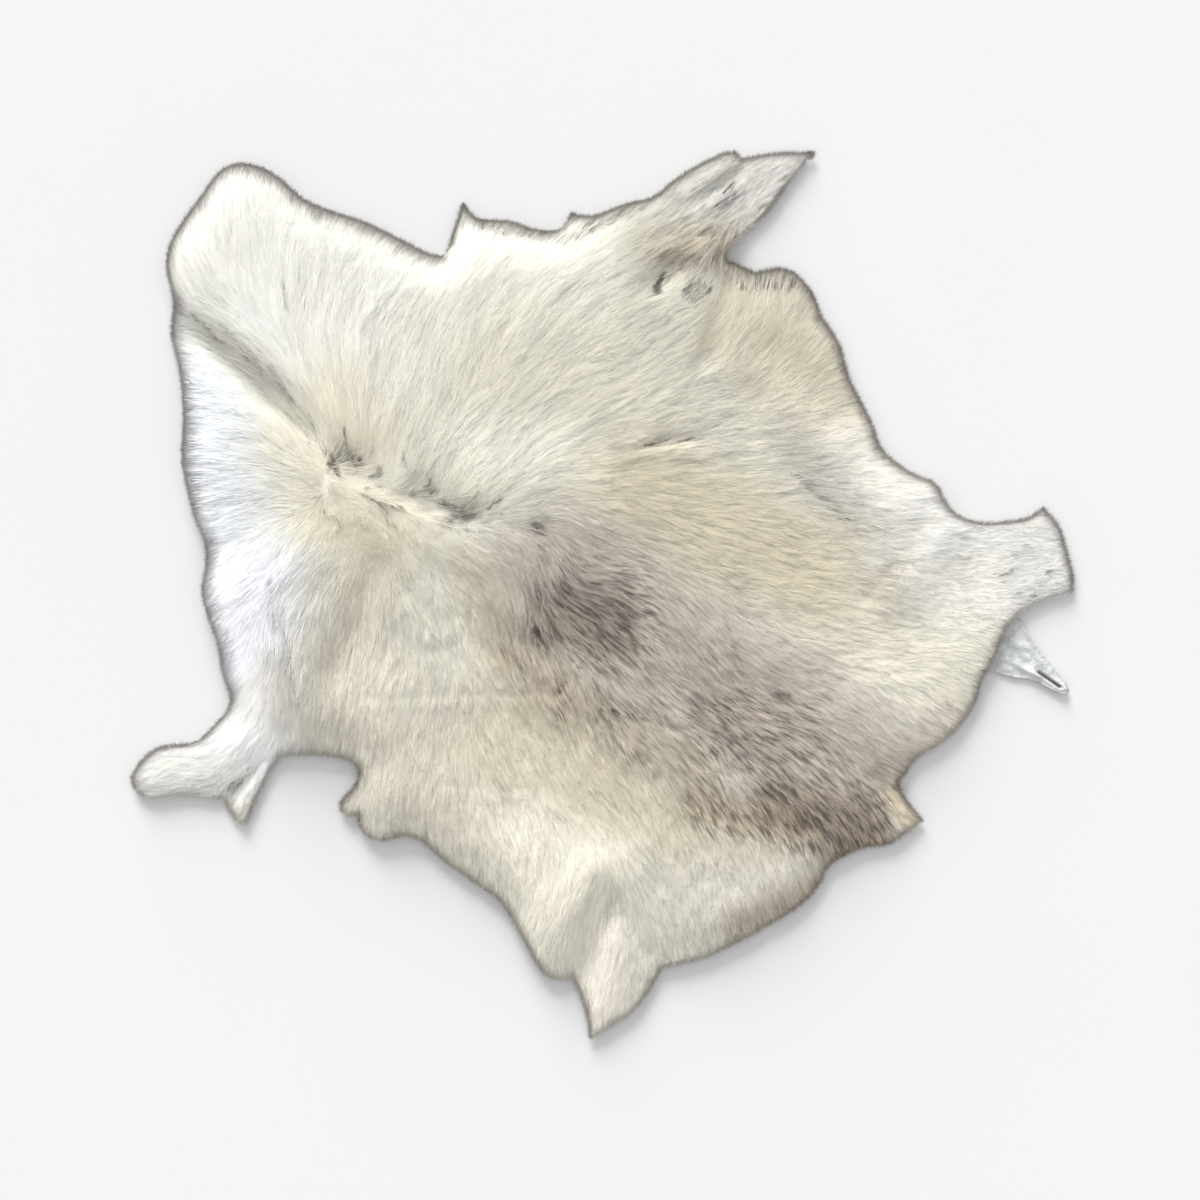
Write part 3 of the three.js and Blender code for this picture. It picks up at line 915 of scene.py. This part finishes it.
def draw_traits(chart, roots, rng):
    """What sets each lock apart: its length, width, bend and tone, and the streak and wisp it lies in."""
    count = len(roots)
    wisp, wisps = gather_wisps(chart, roots, WISP_SPACING, rng)
    length = sample(chart, "length", roots)
    swirl = sample(chart, "swirl", roots)
    spread = sample(chart, "spread", roots) * (1 + 0.4 * ripple(roots, 45 * MM, 7))
    reach = length * np.interp(length, [16 * MM, 30 * MM], [0.45, 0.75])
    speck, streak, sweep = combed(chart, roots, reach, STREAK_WIDTHS)
    # own sets a lock's length, width and tone, turn, curl and lift; its wisp sets length, turn and curl
    own = rng.normal(size=(5, count))
    of_wisp = rng.normal(size=(3, len(wisps)))[:, wisp]
    lift = 0.12 * own[4] + 0.14 * streak + 0.14 * sweep
    fine = np.interp(length, [18 * MM, 30 * MM], [0.85, 0.65])
    tone = 0.5 * own[1] + fine * speck + (1 - fine) * streak + 0.15 * sweep - np.clip(speck - 0.8, 0, 2)
    # rise: how high the tip is, as a share of the coat's height. start: how far up its way a lock begins.
    # pull: how far it leans to its wisp. overhang: how far past the outline it may reach. band: how wide the
    # dark band of the cut edge, dark tips with painted shade under the overhang, is on it. slip: how far off it
    # takes its colour. luck: low where it shows dark.
    return {
        "length": length * np.clip(1 + 0.14 * own[0] + 0.06 * of_wisp[0], 0.6, 1.4) * (1 - 0.5 * swirl),
        "width": sample(chart, "width", roots) * np.clip(1 + 0.2 * own[1], 0.5, 1.6),
        "turn": np.radians(3 * own[2] + 3 * of_wisp[1]) + np.radians(70) * swirl * own[2],
        "curl": np.radians(3 * own[3] + 4 * of_wisp[2]) * (1 + 8 * swirl),
        "rise": np.ones(count),
        "start": np.zeros(count),
        "lift": sample(chart, "over_wool", roots) * np.clip(lift, -0.8, 0.8),
        "tone": 1 + spread * tone,
        "dark": np.zeros(count),
        "roll": np.radians(12) * rng.normal(size=count),
        "flat": 0.97 - 0.4 * swirl,
        "pull": np.interp(length, [15 * MM, 45 * MM], [0.1, 0.3]),
        "offset": roots - wisps[wisp],
        "overhang": rng.uniform(-6 * MM, 1 * MM, count),
        "band": rng.uniform(4 * MM, 9.5 * MM, count),
        "slip": 7 * MM * rng.normal(size=count),
        "luck": np.clip(0.5 + 0.24 * streak + 0.18 * rng.normal(size=count), 0, 1),
        "outward": np.zeros(count),
    }


def plant_edge(chart, rng):
    """The roots of the short hair along the cut edge: a band that runs round the hide, just inside it."""
    outline = chart["outline"]
    spots = []
    for start, end in zip(outline, np.roll(outline, -1, 0)):
        count = round(float(np.linalg.norm(end - start)) / EDGE_SPACING)
        spots.append(start + (end - start) * rng.random((count, 1)))
    spots = np.concatenate(spots)
    outward = unit(sample(chart, "outward", spots))
    return spots - outward * rng.uniform(3 * MM, 8 * MM, (len(spots), 1))


def edge_traits(chart, roots, rng):
    """The edge hair is short and points outwards, under the tips of the coat."""
    count = len(roots)
    return {
        **draw_traits(chart, roots, rng),
        "length": rng.uniform(7 * MM, 12 * MM, count),
        "width": rng.uniform(0.5 * MM, 0.9 * MM, count),
        "rise": rng.uniform(0.5, 0.95, count),
        "turn": np.radians(16) * rng.normal(size=count),
        "tone": 1 + 0.12 * rng.normal(size=count),
        "pull": np.zeros(count),
        "overhang": 5.6 * MM * rng.random(count) ** 1.3,
        "band": rng.uniform(6 * MM, 10 * MM, count),
        "outward": np.full(count, 1.6),
    }


def plant_dark_tips(chart, rng):
    """Dark-tipped hairs centred on the strokes of dark hair and painted shade: roots, and the length and
    darkness of each.
    """
    roots, lengths, darkness = [], [], []
    for start, end, half, share in dark_strokes():
        half_width = half * MM
        area = 2 * half_width * (np.linalg.norm(end - start) + half_width)
        count = int((0.4 + 0.6 * share) * DARK_TIPS * area)
        spots = start + rng.random((count, 1)) * (end - start)
        spots += 0.55 * half_width * rng.normal(size=(count, 2))
        length = np.interp(half, [1.5, 8], [6 * MM, 14 * MM]) * rng.uniform(0.6, 1.5, count)
        roots.append(spots - unit(sample(chart, "lie", spots)) * 0.6 * length[:, None])
        lengths.append(length)
        darkness.append(np.full(count, float(share)))
    roots, lengths, darkness = (np.concatenate(values) for values in (roots, lengths, darkness))
    on_skin = sample(chart, "inward", roots) > 1 * MM
    return roots[on_skin], lengths[on_skin], darkness[on_skin]


def dark_tip_traits(chart, roots, lengths, darkness, rng):
    """Dark tips lie on top of the coat, in streaks with pale hair between; only their last stretch shows."""
    count = len(roots)
    traits = draw_traits(chart, roots, rng)
    return {
        **traits,
        "length": lengths,
        "width": rng.uniform(0.5 * MM, 0.85 * MM, count),
        "start": rng.uniform(0.4, 0.9, count),
        "lift": rng.uniform(0.2 * MM, 1.8 * MM, count),
        "turn": np.radians(8) * rng.normal(size=count),
        "dark": darkness * (2.0 - 2.8 * traits["luck"]) + 4 * np.clip(darkness - 1.3, 0, 1),
        "pull": np.zeros(count),
    }


def turned(vectors, angles):
    """Flat vectors turned by angles."""
    cos, sin = np.cos(angles), np.sin(angles)
    x, y = vectors[..., 0], vectors[..., 1]
    return np.stack([x * cos - y * sin, x * sin + y * cos], -1)


def trimmed(chart, roots, line, overhang):
    """Locks cut short where they would first reach further past the outline than their overhang."""
    places = 10
    steps = np.linspace(0, 1, places + 1)
    spots = roots[:, None] + (line[:, -1:] - roots[:, None]) * steps[:, None]
    room = sample(chart, "inward", spots) + overhang[:, None]
    outside = room < 0
    lock, first = np.arange(len(roots)), np.maximum(outside.argmax(1), 1)
    before, after = room[lock, first - 1], room[lock, first]
    share = (first - 1 + before / np.maximum(before - after, 1e-6)) / places
    share = np.where(outside.any(1), np.clip(share, 0.15, 1), 1)
    return roots[:, None] + (line - roots[:, None]) * share[:, None, None]


def lock_lines(chart, look, roots, traits, steps):
    """The points of each lock, from the wool to its tip: it follows the lie, and leans to its wisp."""
    line = [roots]
    for before, after in zip(steps, steps[1:]):
        away = unit(sample(chart, "outward", line[-1]))
        lie = unit(unit(sample(chart, "lie", line[-1])) + traits["outward"][:, None] * away)
        way = turned(lie, traits["turn"] + traits["curl"] * (after - 0.4))
        line.append(line[-1] + way * (traits["length"] * traits["flat"] * (after - before))[:, None])
    line = np.stack(line, 1)
    line -= (traits["pull"][:, None] * steps**1.5)[..., None] * traits["offset"][:, None]
    line = trimmed(chart, roots, line, traits["overhang"])
    wool = sample(chart, "wool", roots)[:, None] - LOCK_SUNK
    tips = traits["rise"][:, None] * sample(chart, "coat", line) + traits["lift"][:, None]
    start = traits["start"][:, None]
    height = wool + (start + (1 - start) * np.interp(steps, *zip(*LOCK_LIFT))) * (tips - wool)
    height += sample(chart, "under", line) + look.skin_thickness
    return np.concatenate([line, height[..., None]], -1)


def on_both_sides(values):
    """Values for each step of each lock, as values for its points: two at each step, and one at the tip."""
    pairs = np.repeat(values[:, :-1], 2, axis=1)
    return np.concatenate([pairs, values[:, -1:]], 1).reshape(-1, *values.shape[2:])


def lock_ribbons(chart, look, roots, traits, segments):
    """Tapered ribbons for locks: points, normals, triangles, and what is known at each point."""
    steps = np.linspace(0, 1, segments + 1)
    line = lock_lines(chart, look, roots, traits, steps)
    count = len(roots)
    ahead = unit(np.gradient(line, axis=1))
    side = unit(np.stack([-ahead[..., 1], ahead[..., 0], np.zeros(ahead.shape[:2])], -1))
    face = np.cross(ahead, side)
    roll = traits["roll"][:, None, None]
    across = side * np.cos(roll) + face * np.sin(roll)
    face = np.cross(ahead, across)
    half = 0.5 * traits["width"][:, None, None] * np.interp(steps, *zip(*LOCK_TAPER))[:, None] * across
    pairs = np.stack([line + half, line - half], 2)[:, :-1].reshape(count, -1, 3)
    points = np.concatenate([pairs, line[:, -1:]], 1)

    ground = line[..., :2]
    slope = sample(chart, "slope", ground)
    calm = unit(np.concatenate([-slope, np.ones((*slope.shape[:2], 1))], -1))
    turns = np.tile(np.append(np.tile([LOCK_ROUNDING, -LOCK_ROUNDING], segments), 0), count)
    own = unit(on_both_sides(face) + turns[:, None] * on_both_sides(across))
    looks = unit((1 - LOCK_CALM) * own + LOCK_CALM * on_both_sides(calm))

    rungs = np.arange(segments - 1) * 2
    bands = [[r, r + 1, r + 3] for r in rungs] + [[r, r + 3, r + 2] for r in rungs]
    pattern = np.array([*bands, [2 * segments - 2, 2 * segments - 1, 2 * segments]])
    triangles = (np.arange(count)[:, None, None] * (2 * segments + 1) + pattern).reshape(-1, 3)
    spots = ground + traits["slip"][:, None, None] * unit(ground[:, -1:] - ground[:, :1])
    depth = sample(chart, "inward", ground)
    # the dark band of the cut edge: dark tips, with the shadow under the overhanging edge painted in
    edge = np.clip(1.1 - depth / traits["band"][:, None], 0, 1) * sample(chart, "edge_share", ground)
    dark = np.clip((0.6 * dark_hair_and_shade(ground) - traits["luck"][:, None]) / 0.35, 0, 1)
    aside = np.append(np.tile([0.08, 0.92], segments), 0.5)
    return {
        "points": points.reshape(-1, 3),
        "normals": looks,
        "triangles": triangles,
        "along": on_both_sides(np.tile(steps, (count, 1))),
        "colour": on_both_sides(sample(chart, "colour", spots)),
        "dark": on_both_sides(np.maximum(dark, np.clip(traits["dark"], 0, 1)[:, None])),
        "edge": on_both_sides(edge),
        "lock": np.repeat(np.arange(count), 2 * segments + 1),
        "aside": np.tile(aside, count),
    }


def join_ribbons(parts):
    """Several sets of ribbons as one."""
    first_point = np.cumsum([0] + [len(p["points"]) for p in parts[:-1]])
    first_lock = np.cumsum([0] + [p["lock"][-1] + 1 for p in parts[:-1]])
    for part, points, locks in zip(parts, first_point, first_lock):
        part["triangles"] = part["triangles"] + points
        part["lock"] = part["lock"] + locks
    return {name: np.concatenate([p[name] for p in parts]) for name in parts[0]}


def those(traits, picked):
    """The traits of the picked locks."""
    return {name: values[picked] for name, values in traits.items()}


def hair_piece(name, chart, look, roots, traits):
    """One piece of the coat: all its locks as one mesh."""
    kind = np.searchsorted([length for length, _ in LOCK_SEGMENTS], traits["length"], side="right") - 1
    parts, tones = [], []
    for i, (_, segments) in enumerate(LOCK_SEGMENTS):
        picked = kind == i
        if picked.any():
            own = those(traits, picked)
            parts.append(lock_ribbons(chart, look, roots[picked], own, segments))
            tones.append(own["tone"])
    ribbons, tones = join_ribbons(parts), np.concatenate(tones)
    piece = mesh_from(name, to_row(ribbons["points"]), ribbons["triangles"])
    normals = to_row(ribbons["normals"]) - to_row(np.zeros(3))
    piece.data.normals_split_custom_set_from_vertices(normals.tolist())
    set_attribute(piece, "coat", "FLOAT_COLOR", opaque(ribbons["colour"]))
    set_attribute(piece, "tone", "FLOAT", np.clip(tones, LEAST_TONE, MOST_TONE)[ribbons["lock"]])
    for key in ("along", "dark", "edge"):
        set_attribute(piece, key, "FLOAT", ribbons[key])
    lay_out_locks(piece, ribbons)
    return piece


def lay_out_locks(piece, ribbons):
    """A map with a cell of its own for each lock, so that no two share a place on it."""
    cells = math.ceil(math.sqrt(ribbons["lock"][-1] + 1))
    across = (ribbons["lock"] % cells + ribbons["aside"]) / cells
    up = (ribbons["lock"] // cells + 0.06 + 0.88 * ribbons["along"]) / cells
    corners = ribbons["triangles"].ravel()
    places = np.stack([across[corners], up[corners]], -1)
    piece.data.uv_layers.new(name="OFBake").data.foreach_set("uv", places.astype(np.float32).ravel())


def part_of(roots):
    """The piece of the coat that each root belongs to: that of the nearest part, counted in its reach."""
    away = np.stack([np.linalg.norm(roots - np.array(row[1:3]) * MM, axis=1) / row[3] for row in COAT])
    return np.array([row[8] for row in COAT])[away.argmin(0)]


# ---------------------------------------------------------------- materials

MIX_FACTOR, MIX_A, MIX_B, MIX_RESULT = 0, 6, 7, 2  # the colour sockets of a Mix node
NOISE_SPREAD = (0.3, 0.7)  # what most of a noise lies between


def new_material(name):
    """An empty material and its tree of nodes."""
    material = bpy.data.materials.new(name)
    material.use_nodes = True
    material.node_tree.nodes.clear()
    return material, material.node_tree


def add_node(tree, kind, settings, output=None):
    """A new node's output. A setting is a value or another output; a number names a socket by its place."""
    node = tree.nodes.new(kind)
    for name, value in settings.items():
        if isinstance(value, bpy.types.NodeSocket):
            tree.links.new(value, node.inputs[name])
        elif isinstance(name, int) or name in node.inputs:
            node.inputs[name].default_value = value
        else:
            setattr(node, name, value)
    return None if output is None else node.outputs[output]


def attribute(tree, name, output="Fac"):
    """What an attribute of the piece says in each place."""
    return add_node(tree, "ShaderNodeAttribute", {"attribute_name": name}, output)


def noise(tree, place, size, detail, roughness=0.5, distortion=0.0):
    """Noise whose swells are about as wide as size."""
    settings = {"Vector": place, "Scale": 1 / size, "Detail": detail}
    settings |= {"Roughness": roughness, "Distortion": distortion}
    return add_node(tree, "ShaderNodeTexNoise", settings, "Fac")


def between(tree, value, low, high, least=0.0, most=1.0):
    """A value that runs from least to most, as one that runs from low to high."""
    settings = {"Value": value, "From Min": least, "From Max": most, "To Min": low, "To Max": high}
    return add_node(tree, "ShaderNodeMapRange", settings, "Result")


def times(tree, first, second):
    """Two values multiplied."""
    return add_node(tree, "ShaderNodeMath", {"operation": "MULTIPLY", 0: first, 1: second}, "Value")


def mixed(tree, share, first, second):
    """The first colour with that share of the second in it."""
    settings = {"data_type": "RGBA", MIX_FACTOR: share, MIX_A: first, MIX_B: second}
    return add_node(tree, "ShaderNodeMix", settings, MIX_RESULT)


def toned(tree, colour, value):
    """A colour made lighter or darker by a value around 1."""
    return add_node(tree, "ShaderNodeHueSaturation", {"Color": colour, "Value": value}, "Color")


def relief(tree, height, strength, distance):
    """The normals of a surface with small bumps that are so high."""
    settings = {"Height": height, "Strength": strength, "Distance": distance}
    return add_node(tree, "ShaderNodeBump", settings, "Normal")


def surface(tree, settings):
    """The shader of a material: what isn't fed by another node is the same all over."""
    shader = add_node(tree, "ShaderNodeBsdfPrincipled", settings, "BSDF")
    add_node(tree, "ShaderNodeOutputMaterial", {"Surface": shader})


def guard_hair_material(look):
    """Reindeer guard hair, hollow and full of air: chalky and opaque, so it is matte, with a faint sheen."""
    material, tree = new_material("reindeer_guard_hair")
    along, tone, dark, edge = (attribute(tree, name) for name in ("along", "tone", "dark", "edge"))
    coat = attribute(tree, "coat", "Color")
    # dark hair is darkest at its root, and so is the shade painted at the right armpit and the edge fringes;
    # all tips along the cut edge are dark, with the shadow under the overhanging edge painted into them
    dark = times(tree, between(tree, along, 1.0, 0.55), dark)
    dark_roots_and_shade = mixed(tree, dark, coat, (*look.root_and_shade_colour, 1))
    tipped = mixed(tree, edge, dark_roots_and_shade, (*look.edge_tip_and_shade_colour, 1))
    # a lock is some ten hairs of 0.2 mm: they are drawn as a few streaks along each lock, on its own map
    place = add_node(tree, "ShaderNodeUVMap", {"uv_map": "OFBake"}, "UV")
    place = add_node(tree, "ShaderNodeMapping", {"Vector": place, "Scale": (1200.0, 260.0, 1.0)}, "Vector")
    value = between(tree, noise(tree, place, 1.0, 2.0), 0.93, 1.05, *NOISE_SPREAD)
    sunlit = between(tree, along, 0.95, 1.08)
    for factor in (tone, sunlit):
        value = times(tree, value, factor)
    surface(tree, {
        "Base Color": toned(tree, tipped, value), "Roughness": 0.62, "Specular IOR Level": 0.25,
        "Sheen Weight": 0.15, "Sheen Roughness": 0.5,
    })
    return material


def underwool_material():
    """Underwool: fine, crimped and felted, so it drinks the light. Its tufts are drawn as 1.5 mm streaks."""
    material, tree = new_material("reindeer_underwool")
    place = add_node(tree, "ShaderNodeTexCoord", {}, "Object")
    streaks = noise(tree, place, 1.5 * MM, 4.0, roughness=0.7)
    value = between(tree, streaks, 0.8, 1.0, *NOISE_SPREAD)
    surface(tree, {
        "Base Color": toned(tree, attribute(tree, "coat", "Color"), value), "Roughness": 0.95,
        "Specular IOR Level": 0.1, "Normal": relief(tree, streaks, 0.8, 1.5 * MM),
    })
    return material


def skin_material(look):
    """Alum-tanned skin, flesh side buffed to a nap: off-white suede with a faint mottle and 0.6 mm grain."""
    material, tree = new_material("alum_tanned_suede")
    place = add_node(tree, "ShaderNodeTexCoord", {}, "Object")
    value = between(tree, noise(tree, place, 70 * MM, 5.0, roughness=0.6), 0.88, 1.04, *NOISE_SPREAD)
    grain = noise(tree, place, 0.6 * MM, 3.0)
    surface(tree, {
        "Base Color": toned(tree, (*look.skin_colour, 1), value), "Roughness": 0.85,
        "Specular IOR Level": 0.3, "Sheen Weight": 0.3, "Normal": relief(tree, grain, 0.35, 0.3 * MM),
    })
    return material


def shank_material(look):
    """Bare shank skin that dried stretched: hard as parchment, smooth and shiny, with drying wrinkles."""
    material, tree = new_material("dried_shank_skin")
    place = add_node(tree, "ShaderNodeTexCoord", {}, "Object")
    value = between(tree, noise(tree, place, 16 * MM, 6.0, roughness=0.65), 0.62, 1.16, *NOISE_SPREAD)
    # the slit is darkened towards the root colour: painted shade in the groove
    shaded = mixed(tree, attribute(tree, "groove"), (*look.shank_colour, 1), (*look.root_and_shade_colour, 1))
    wrinkles = noise(tree, place, 5 * MM, 4.0, distortion=0.8)
    surface(tree, {
        "Base Color": toned(tree, shaded, value), "Roughness": 0.32,
        "Specular IOR Level": 0.5, "Normal": relief(tree, wrinkles, 0.8, 1.6 * MM),
    })
    return material


def floor_material(look):
    """Matte painted board: even and pale."""
    material, tree = new_material("matte_painted_floor")
    place = add_node(tree, "ShaderNodeTexCoord", {}, "Object")
    value = between(tree, noise(tree, place, 1 / 3, 2.0), 0.995, 1.005)
    colour = toned(tree, (*look.floor_colour, 1), value)
    surface(tree, {"Base Color": colour, "Roughness": 0.9, "Specular IOR Level": 0.1})
    return material


# ---------------------------------------------------------------- operators

_charts = {}


def hide_chart():
    """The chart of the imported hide, drawn once."""
    if "hide" not in _charts:
        _charts["hide"] = draw_chart(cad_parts["hide"], bpy.context.scene.hide_look)
    return _charts["hide"]


class HIDE_OT_underwool(bpy.types.Operator):
    """The felted wool between the skin and the guard hair, as one soft layer"""

    bl_idname = "hide.underwool"
    bl_label = "Underwool"

    def execute(self, context):
        look, chart = context.scene.hide_look, hide_chart()
        plan, triangles = cutting_plan(chart, look.skin_inset, 10 * MM)
        skin_top = sample(chart, "under", plan) + look.skin_thickness
        top = skin_top + sample(chart, "wool", plan)
        piece = layer("underwool", plan, triangles, skin_top + GAP, top)
        shown = 0.4 * dark_hair_and_shade(plan)[:, None]
        colour = sample(chart, "colour", plan)
        colour = colour * (1 - shown) + np.array(look.root_and_shade_colour) * shown
        set_attribute(piece, "coat", "FLOAT_COLOR", opaque(np.concatenate([colour, colour])))
        piece.data.materials.append(underwool_material())
        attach(piece, "root")
        return {"FINISHED"}


class HIDE_OT_guard_hair(bpy.types.Operator):
    """The guard hair, lock by lock, as one piece for each part of the coat"""

    bl_idname = "hide.guard_hair"
    bl_label = "Guard hair"

    def execute(self, context):
        look, chart = context.scene.hide_look, hide_chart()
        rng = np.random.default_rng(look.seed)
        roots = plant_roots(chart, look, rng)
        traits = draw_traits(chart, roots, rng)
        part = part_of(roots)
        coat = {}
        for name in dict.fromkeys(row[8] for row in COAT):
            coat[f"hair_{name}"] = (roots[part == name], those(traits, part == name))
        edge_roots = plant_edge(chart, rng)
        dark_roots, *of_tips = plant_dark_tips(chart, rng)
        coat["hair_edge"] = (edge_roots, edge_traits(chart, edge_roots, rng))
        coat["hair_dark_tips"] = (dark_roots, dark_tip_traits(chart, dark_roots, *of_tips, rng))
        material = guard_hair_material(look)
        for name, (roots, traits) in coat.items():
            piece = hair_piece(name, chart, look, roots, traits)
            piece.data.materials.append(material)
            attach(piece, "root")
        return {"FINISHED"}


def shank_relief(flat, share):
    """The height of the shank's underside, and how deep in its slit each point lies."""
    # it lies nearly flat, and its sides curl up
    height = 0.4 * MM + 1.5 * MM * share**4
    first, last = SHANK_FREE
    free = np.clip((flat[:, 0] - first * MM) / ((last - first) * MM), 0, 1)
    for *line, rise in SHANK_FOLDS:
        height += rise * MM * free * fold_share(flat, *line)
    *line, deep = SHANK_SLIT
    groove = fold_share(flat, *line)
    height = np.maximum(height - deep * MM * groove, GAP)
    return height, groove


class HIDE_OT_shank(bpy.types.Operator):
    """The shank of the right hind leg, turned under the edge with its flesh side up"""

    bl_idname = "hide.shank"
    bl_label = "Turned shank"

    def execute(self, context):
        look = context.scene.hide_look
        rows = np.array(SHANK) * MM
        along, across = np.linspace(rows[0, 0], rows[-1, 0], SHANK_GRID[0]), np.linspace(-1, 1, SHANK_GRID[1])
        left, right = np.interp(along, rows[:, 0], rows[:, 1]), np.interp(along, rows[:, 0], rows[:, 2])
        aside = np.where(across > 0, across * left[:, None], across * right[:, None])
        flat = np.stack([np.broadcast_to(along[:, None], aside.shape), aside], -1).reshape(-1, 2)
        share = np.broadcast_to(np.abs(across), aside.shape).ravel()
        plan = turned(flat, math.radians(SHANK_HEADING)) + np.array(SHANK_ROOT) * MM
        height, groove = shank_relief(flat, share)
        corner = np.arange(len(flat)).reshape(aside.shape)
        a, b, c, d = corner[:-1, :-1], corner[1:, :-1], corner[1:, 1:], corner[:-1, 1:]
        halves = ((a, b, c), (a, c, d))
        triangles = np.concatenate([np.stack(half, -1).reshape(-1, 3) for half in halves])
        piece = layer("turned_shank", plan, triangles, height, height + SHANK_THICKNESS)
        set_attribute(piece, "groove", "FLOAT", np.concatenate([groove, groove]))
        piece.data.materials.append(shank_material(look))
        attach(piece, "root")
        return {"FINISHED"}


class HIDE_OT_skin(bpy.types.Operator):
    """The tanned skin, one sheet from neck to tail, which the coat stands on"""

    bl_idname = "hide.skin"
    bl_label = "Skin"

    def execute(self, context):
        look, chart = context.scene.hide_look, hide_chart()
        plan, triangles = cutting_plan(chart, look.skin_inset, 12 * MM)
        low = sample(chart, "under", plan) + SKIN_LIFT
        piece = layer("skin", plan, triangles, low, low + look.skin_thickness - SKIN_LIFT)
        piece.data.materials.append(skin_material(look))
        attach(piece, "root")
        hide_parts("hide")
        low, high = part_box("hide")
        return {"FINISHED"}


FLOOR_SIZE = 30  # wide enough for the camera never to see its edge
SKY_COLOUR = (0.985, 0.99, 1, 1)
LAMP_FROM = (0.5, 0.86, 0.29)  # the way to the lamp, a wide soft box a long way off, low over the neck
VIEW_CENTRE = (-3.3 * MM, -110.4 * MM)  # the point of the floor under the camera
CAMERA_TURN = math.radians(-45)  # the camera's right is the chart's x
FAR_CLIP = 50


class HIDE_OT_stage(bpy.types.Operator):
    """A pale floor, an even sky, one soft lamp beyond the neck, and a camera straight above"""

    bl_idname = "hide.stage"
    bl_label = "Stage"

    def execute(self, context):
        look = context.scene.stage_look
        bpy.ops.object.select_all(action="DESELECT")
        bpy.ops.mesh.primitive_plane_add(size=FLOOR_SIZE, location=(0, 0, -GAP))
        floor = context.object
        floor.name = "floor"
        floor.data.materials.append(floor_material(look))
        world = bpy.data.worlds.new("sky")
        context.scene.world = world
        world.use_nodes = True
        background = world.node_tree.nodes["Background"].inputs
        background["Color"].default_value = SKY_COLOUR
        background["Strength"].default_value = look.sky_strength
        bpy.ops.object.light_add(type="SUN", location=(0, 0, 3))
        lamp = context.object
        lamp.name = "soft_lamp"
        lamp.data.energy = look.lamp_strength
        lamp.data.angle = look.lamp_width
        lamp.rotation_euler = Vector(LAMP_FROM).to_track_quat("Z", "Y").to_euler()
        bpy.ops.object.camera_add(location=(*VIEW_CENTRE, look.camera_height), rotation=(0, 0, CAMERA_TURN))
        camera = context.object
        camera.name = "camera"
        camera.data.lens = camera.data.sensor_width * look.camera_height / look.view_width
        camera.data.clip_end = FAR_CLIP
        context.scene.camera = camera
        context.scene.view_settings.view_transform = "Standard"
        return {"FINISHED"}


class HIDE_PT_panel(bpy.types.Panel):
    """Makes the hide piece by piece"""

    bl_idname = "HIDE_PT_panel"
    bl_label = "Reindeer hide"
    bl_space_type = "VIEW_3D"
    bl_region_type = "UI"
    bl_category = "Hide"

    def draw(self, context):
        for look in (context.scene.hide_look, context.scene.stage_look):
            column = self.layout.column()
            for name in look.__annotations__:
                column.prop(look, name)
        for operator in OPERATORS:
            self.layout.operator(operator.bl_idname)


OPERATORS = (HIDE_OT_underwool, HIDE_OT_guard_hair, HIDE_OT_shank, HIDE_OT_skin, HIDE_OT_stage)
CLASSES = (HideLook, StageLook, *OPERATORS, HIDE_PT_panel)


def register():
    """Adds the classes and the settings."""
    for cls in CLASSES:
        bpy.utils.register_class(cls)
    bpy.types.Scene.hide_look = PointerProperty(type=HideLook)
    bpy.types.Scene.stage_look = PointerProperty(type=StageLook)


def unregister():
    """Removes the settings and the classes."""
    del bpy.types.Scene.stage_look
    del bpy.types.Scene.hide_look
    for cls in reversed(CLASSES):
        bpy.utils.unregister_class(cls)


def main():
    """Makes the whole hide and its stage."""
    register()
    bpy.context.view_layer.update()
    bpy.ops.hide.underwool()
    bpy.ops.hide.guard_hair()
    bpy.ops.hide.shank()
    bpy.ops.hide.skin()
    bpy.ops.hide.stage()


if __name__ == "__main__":
    main()
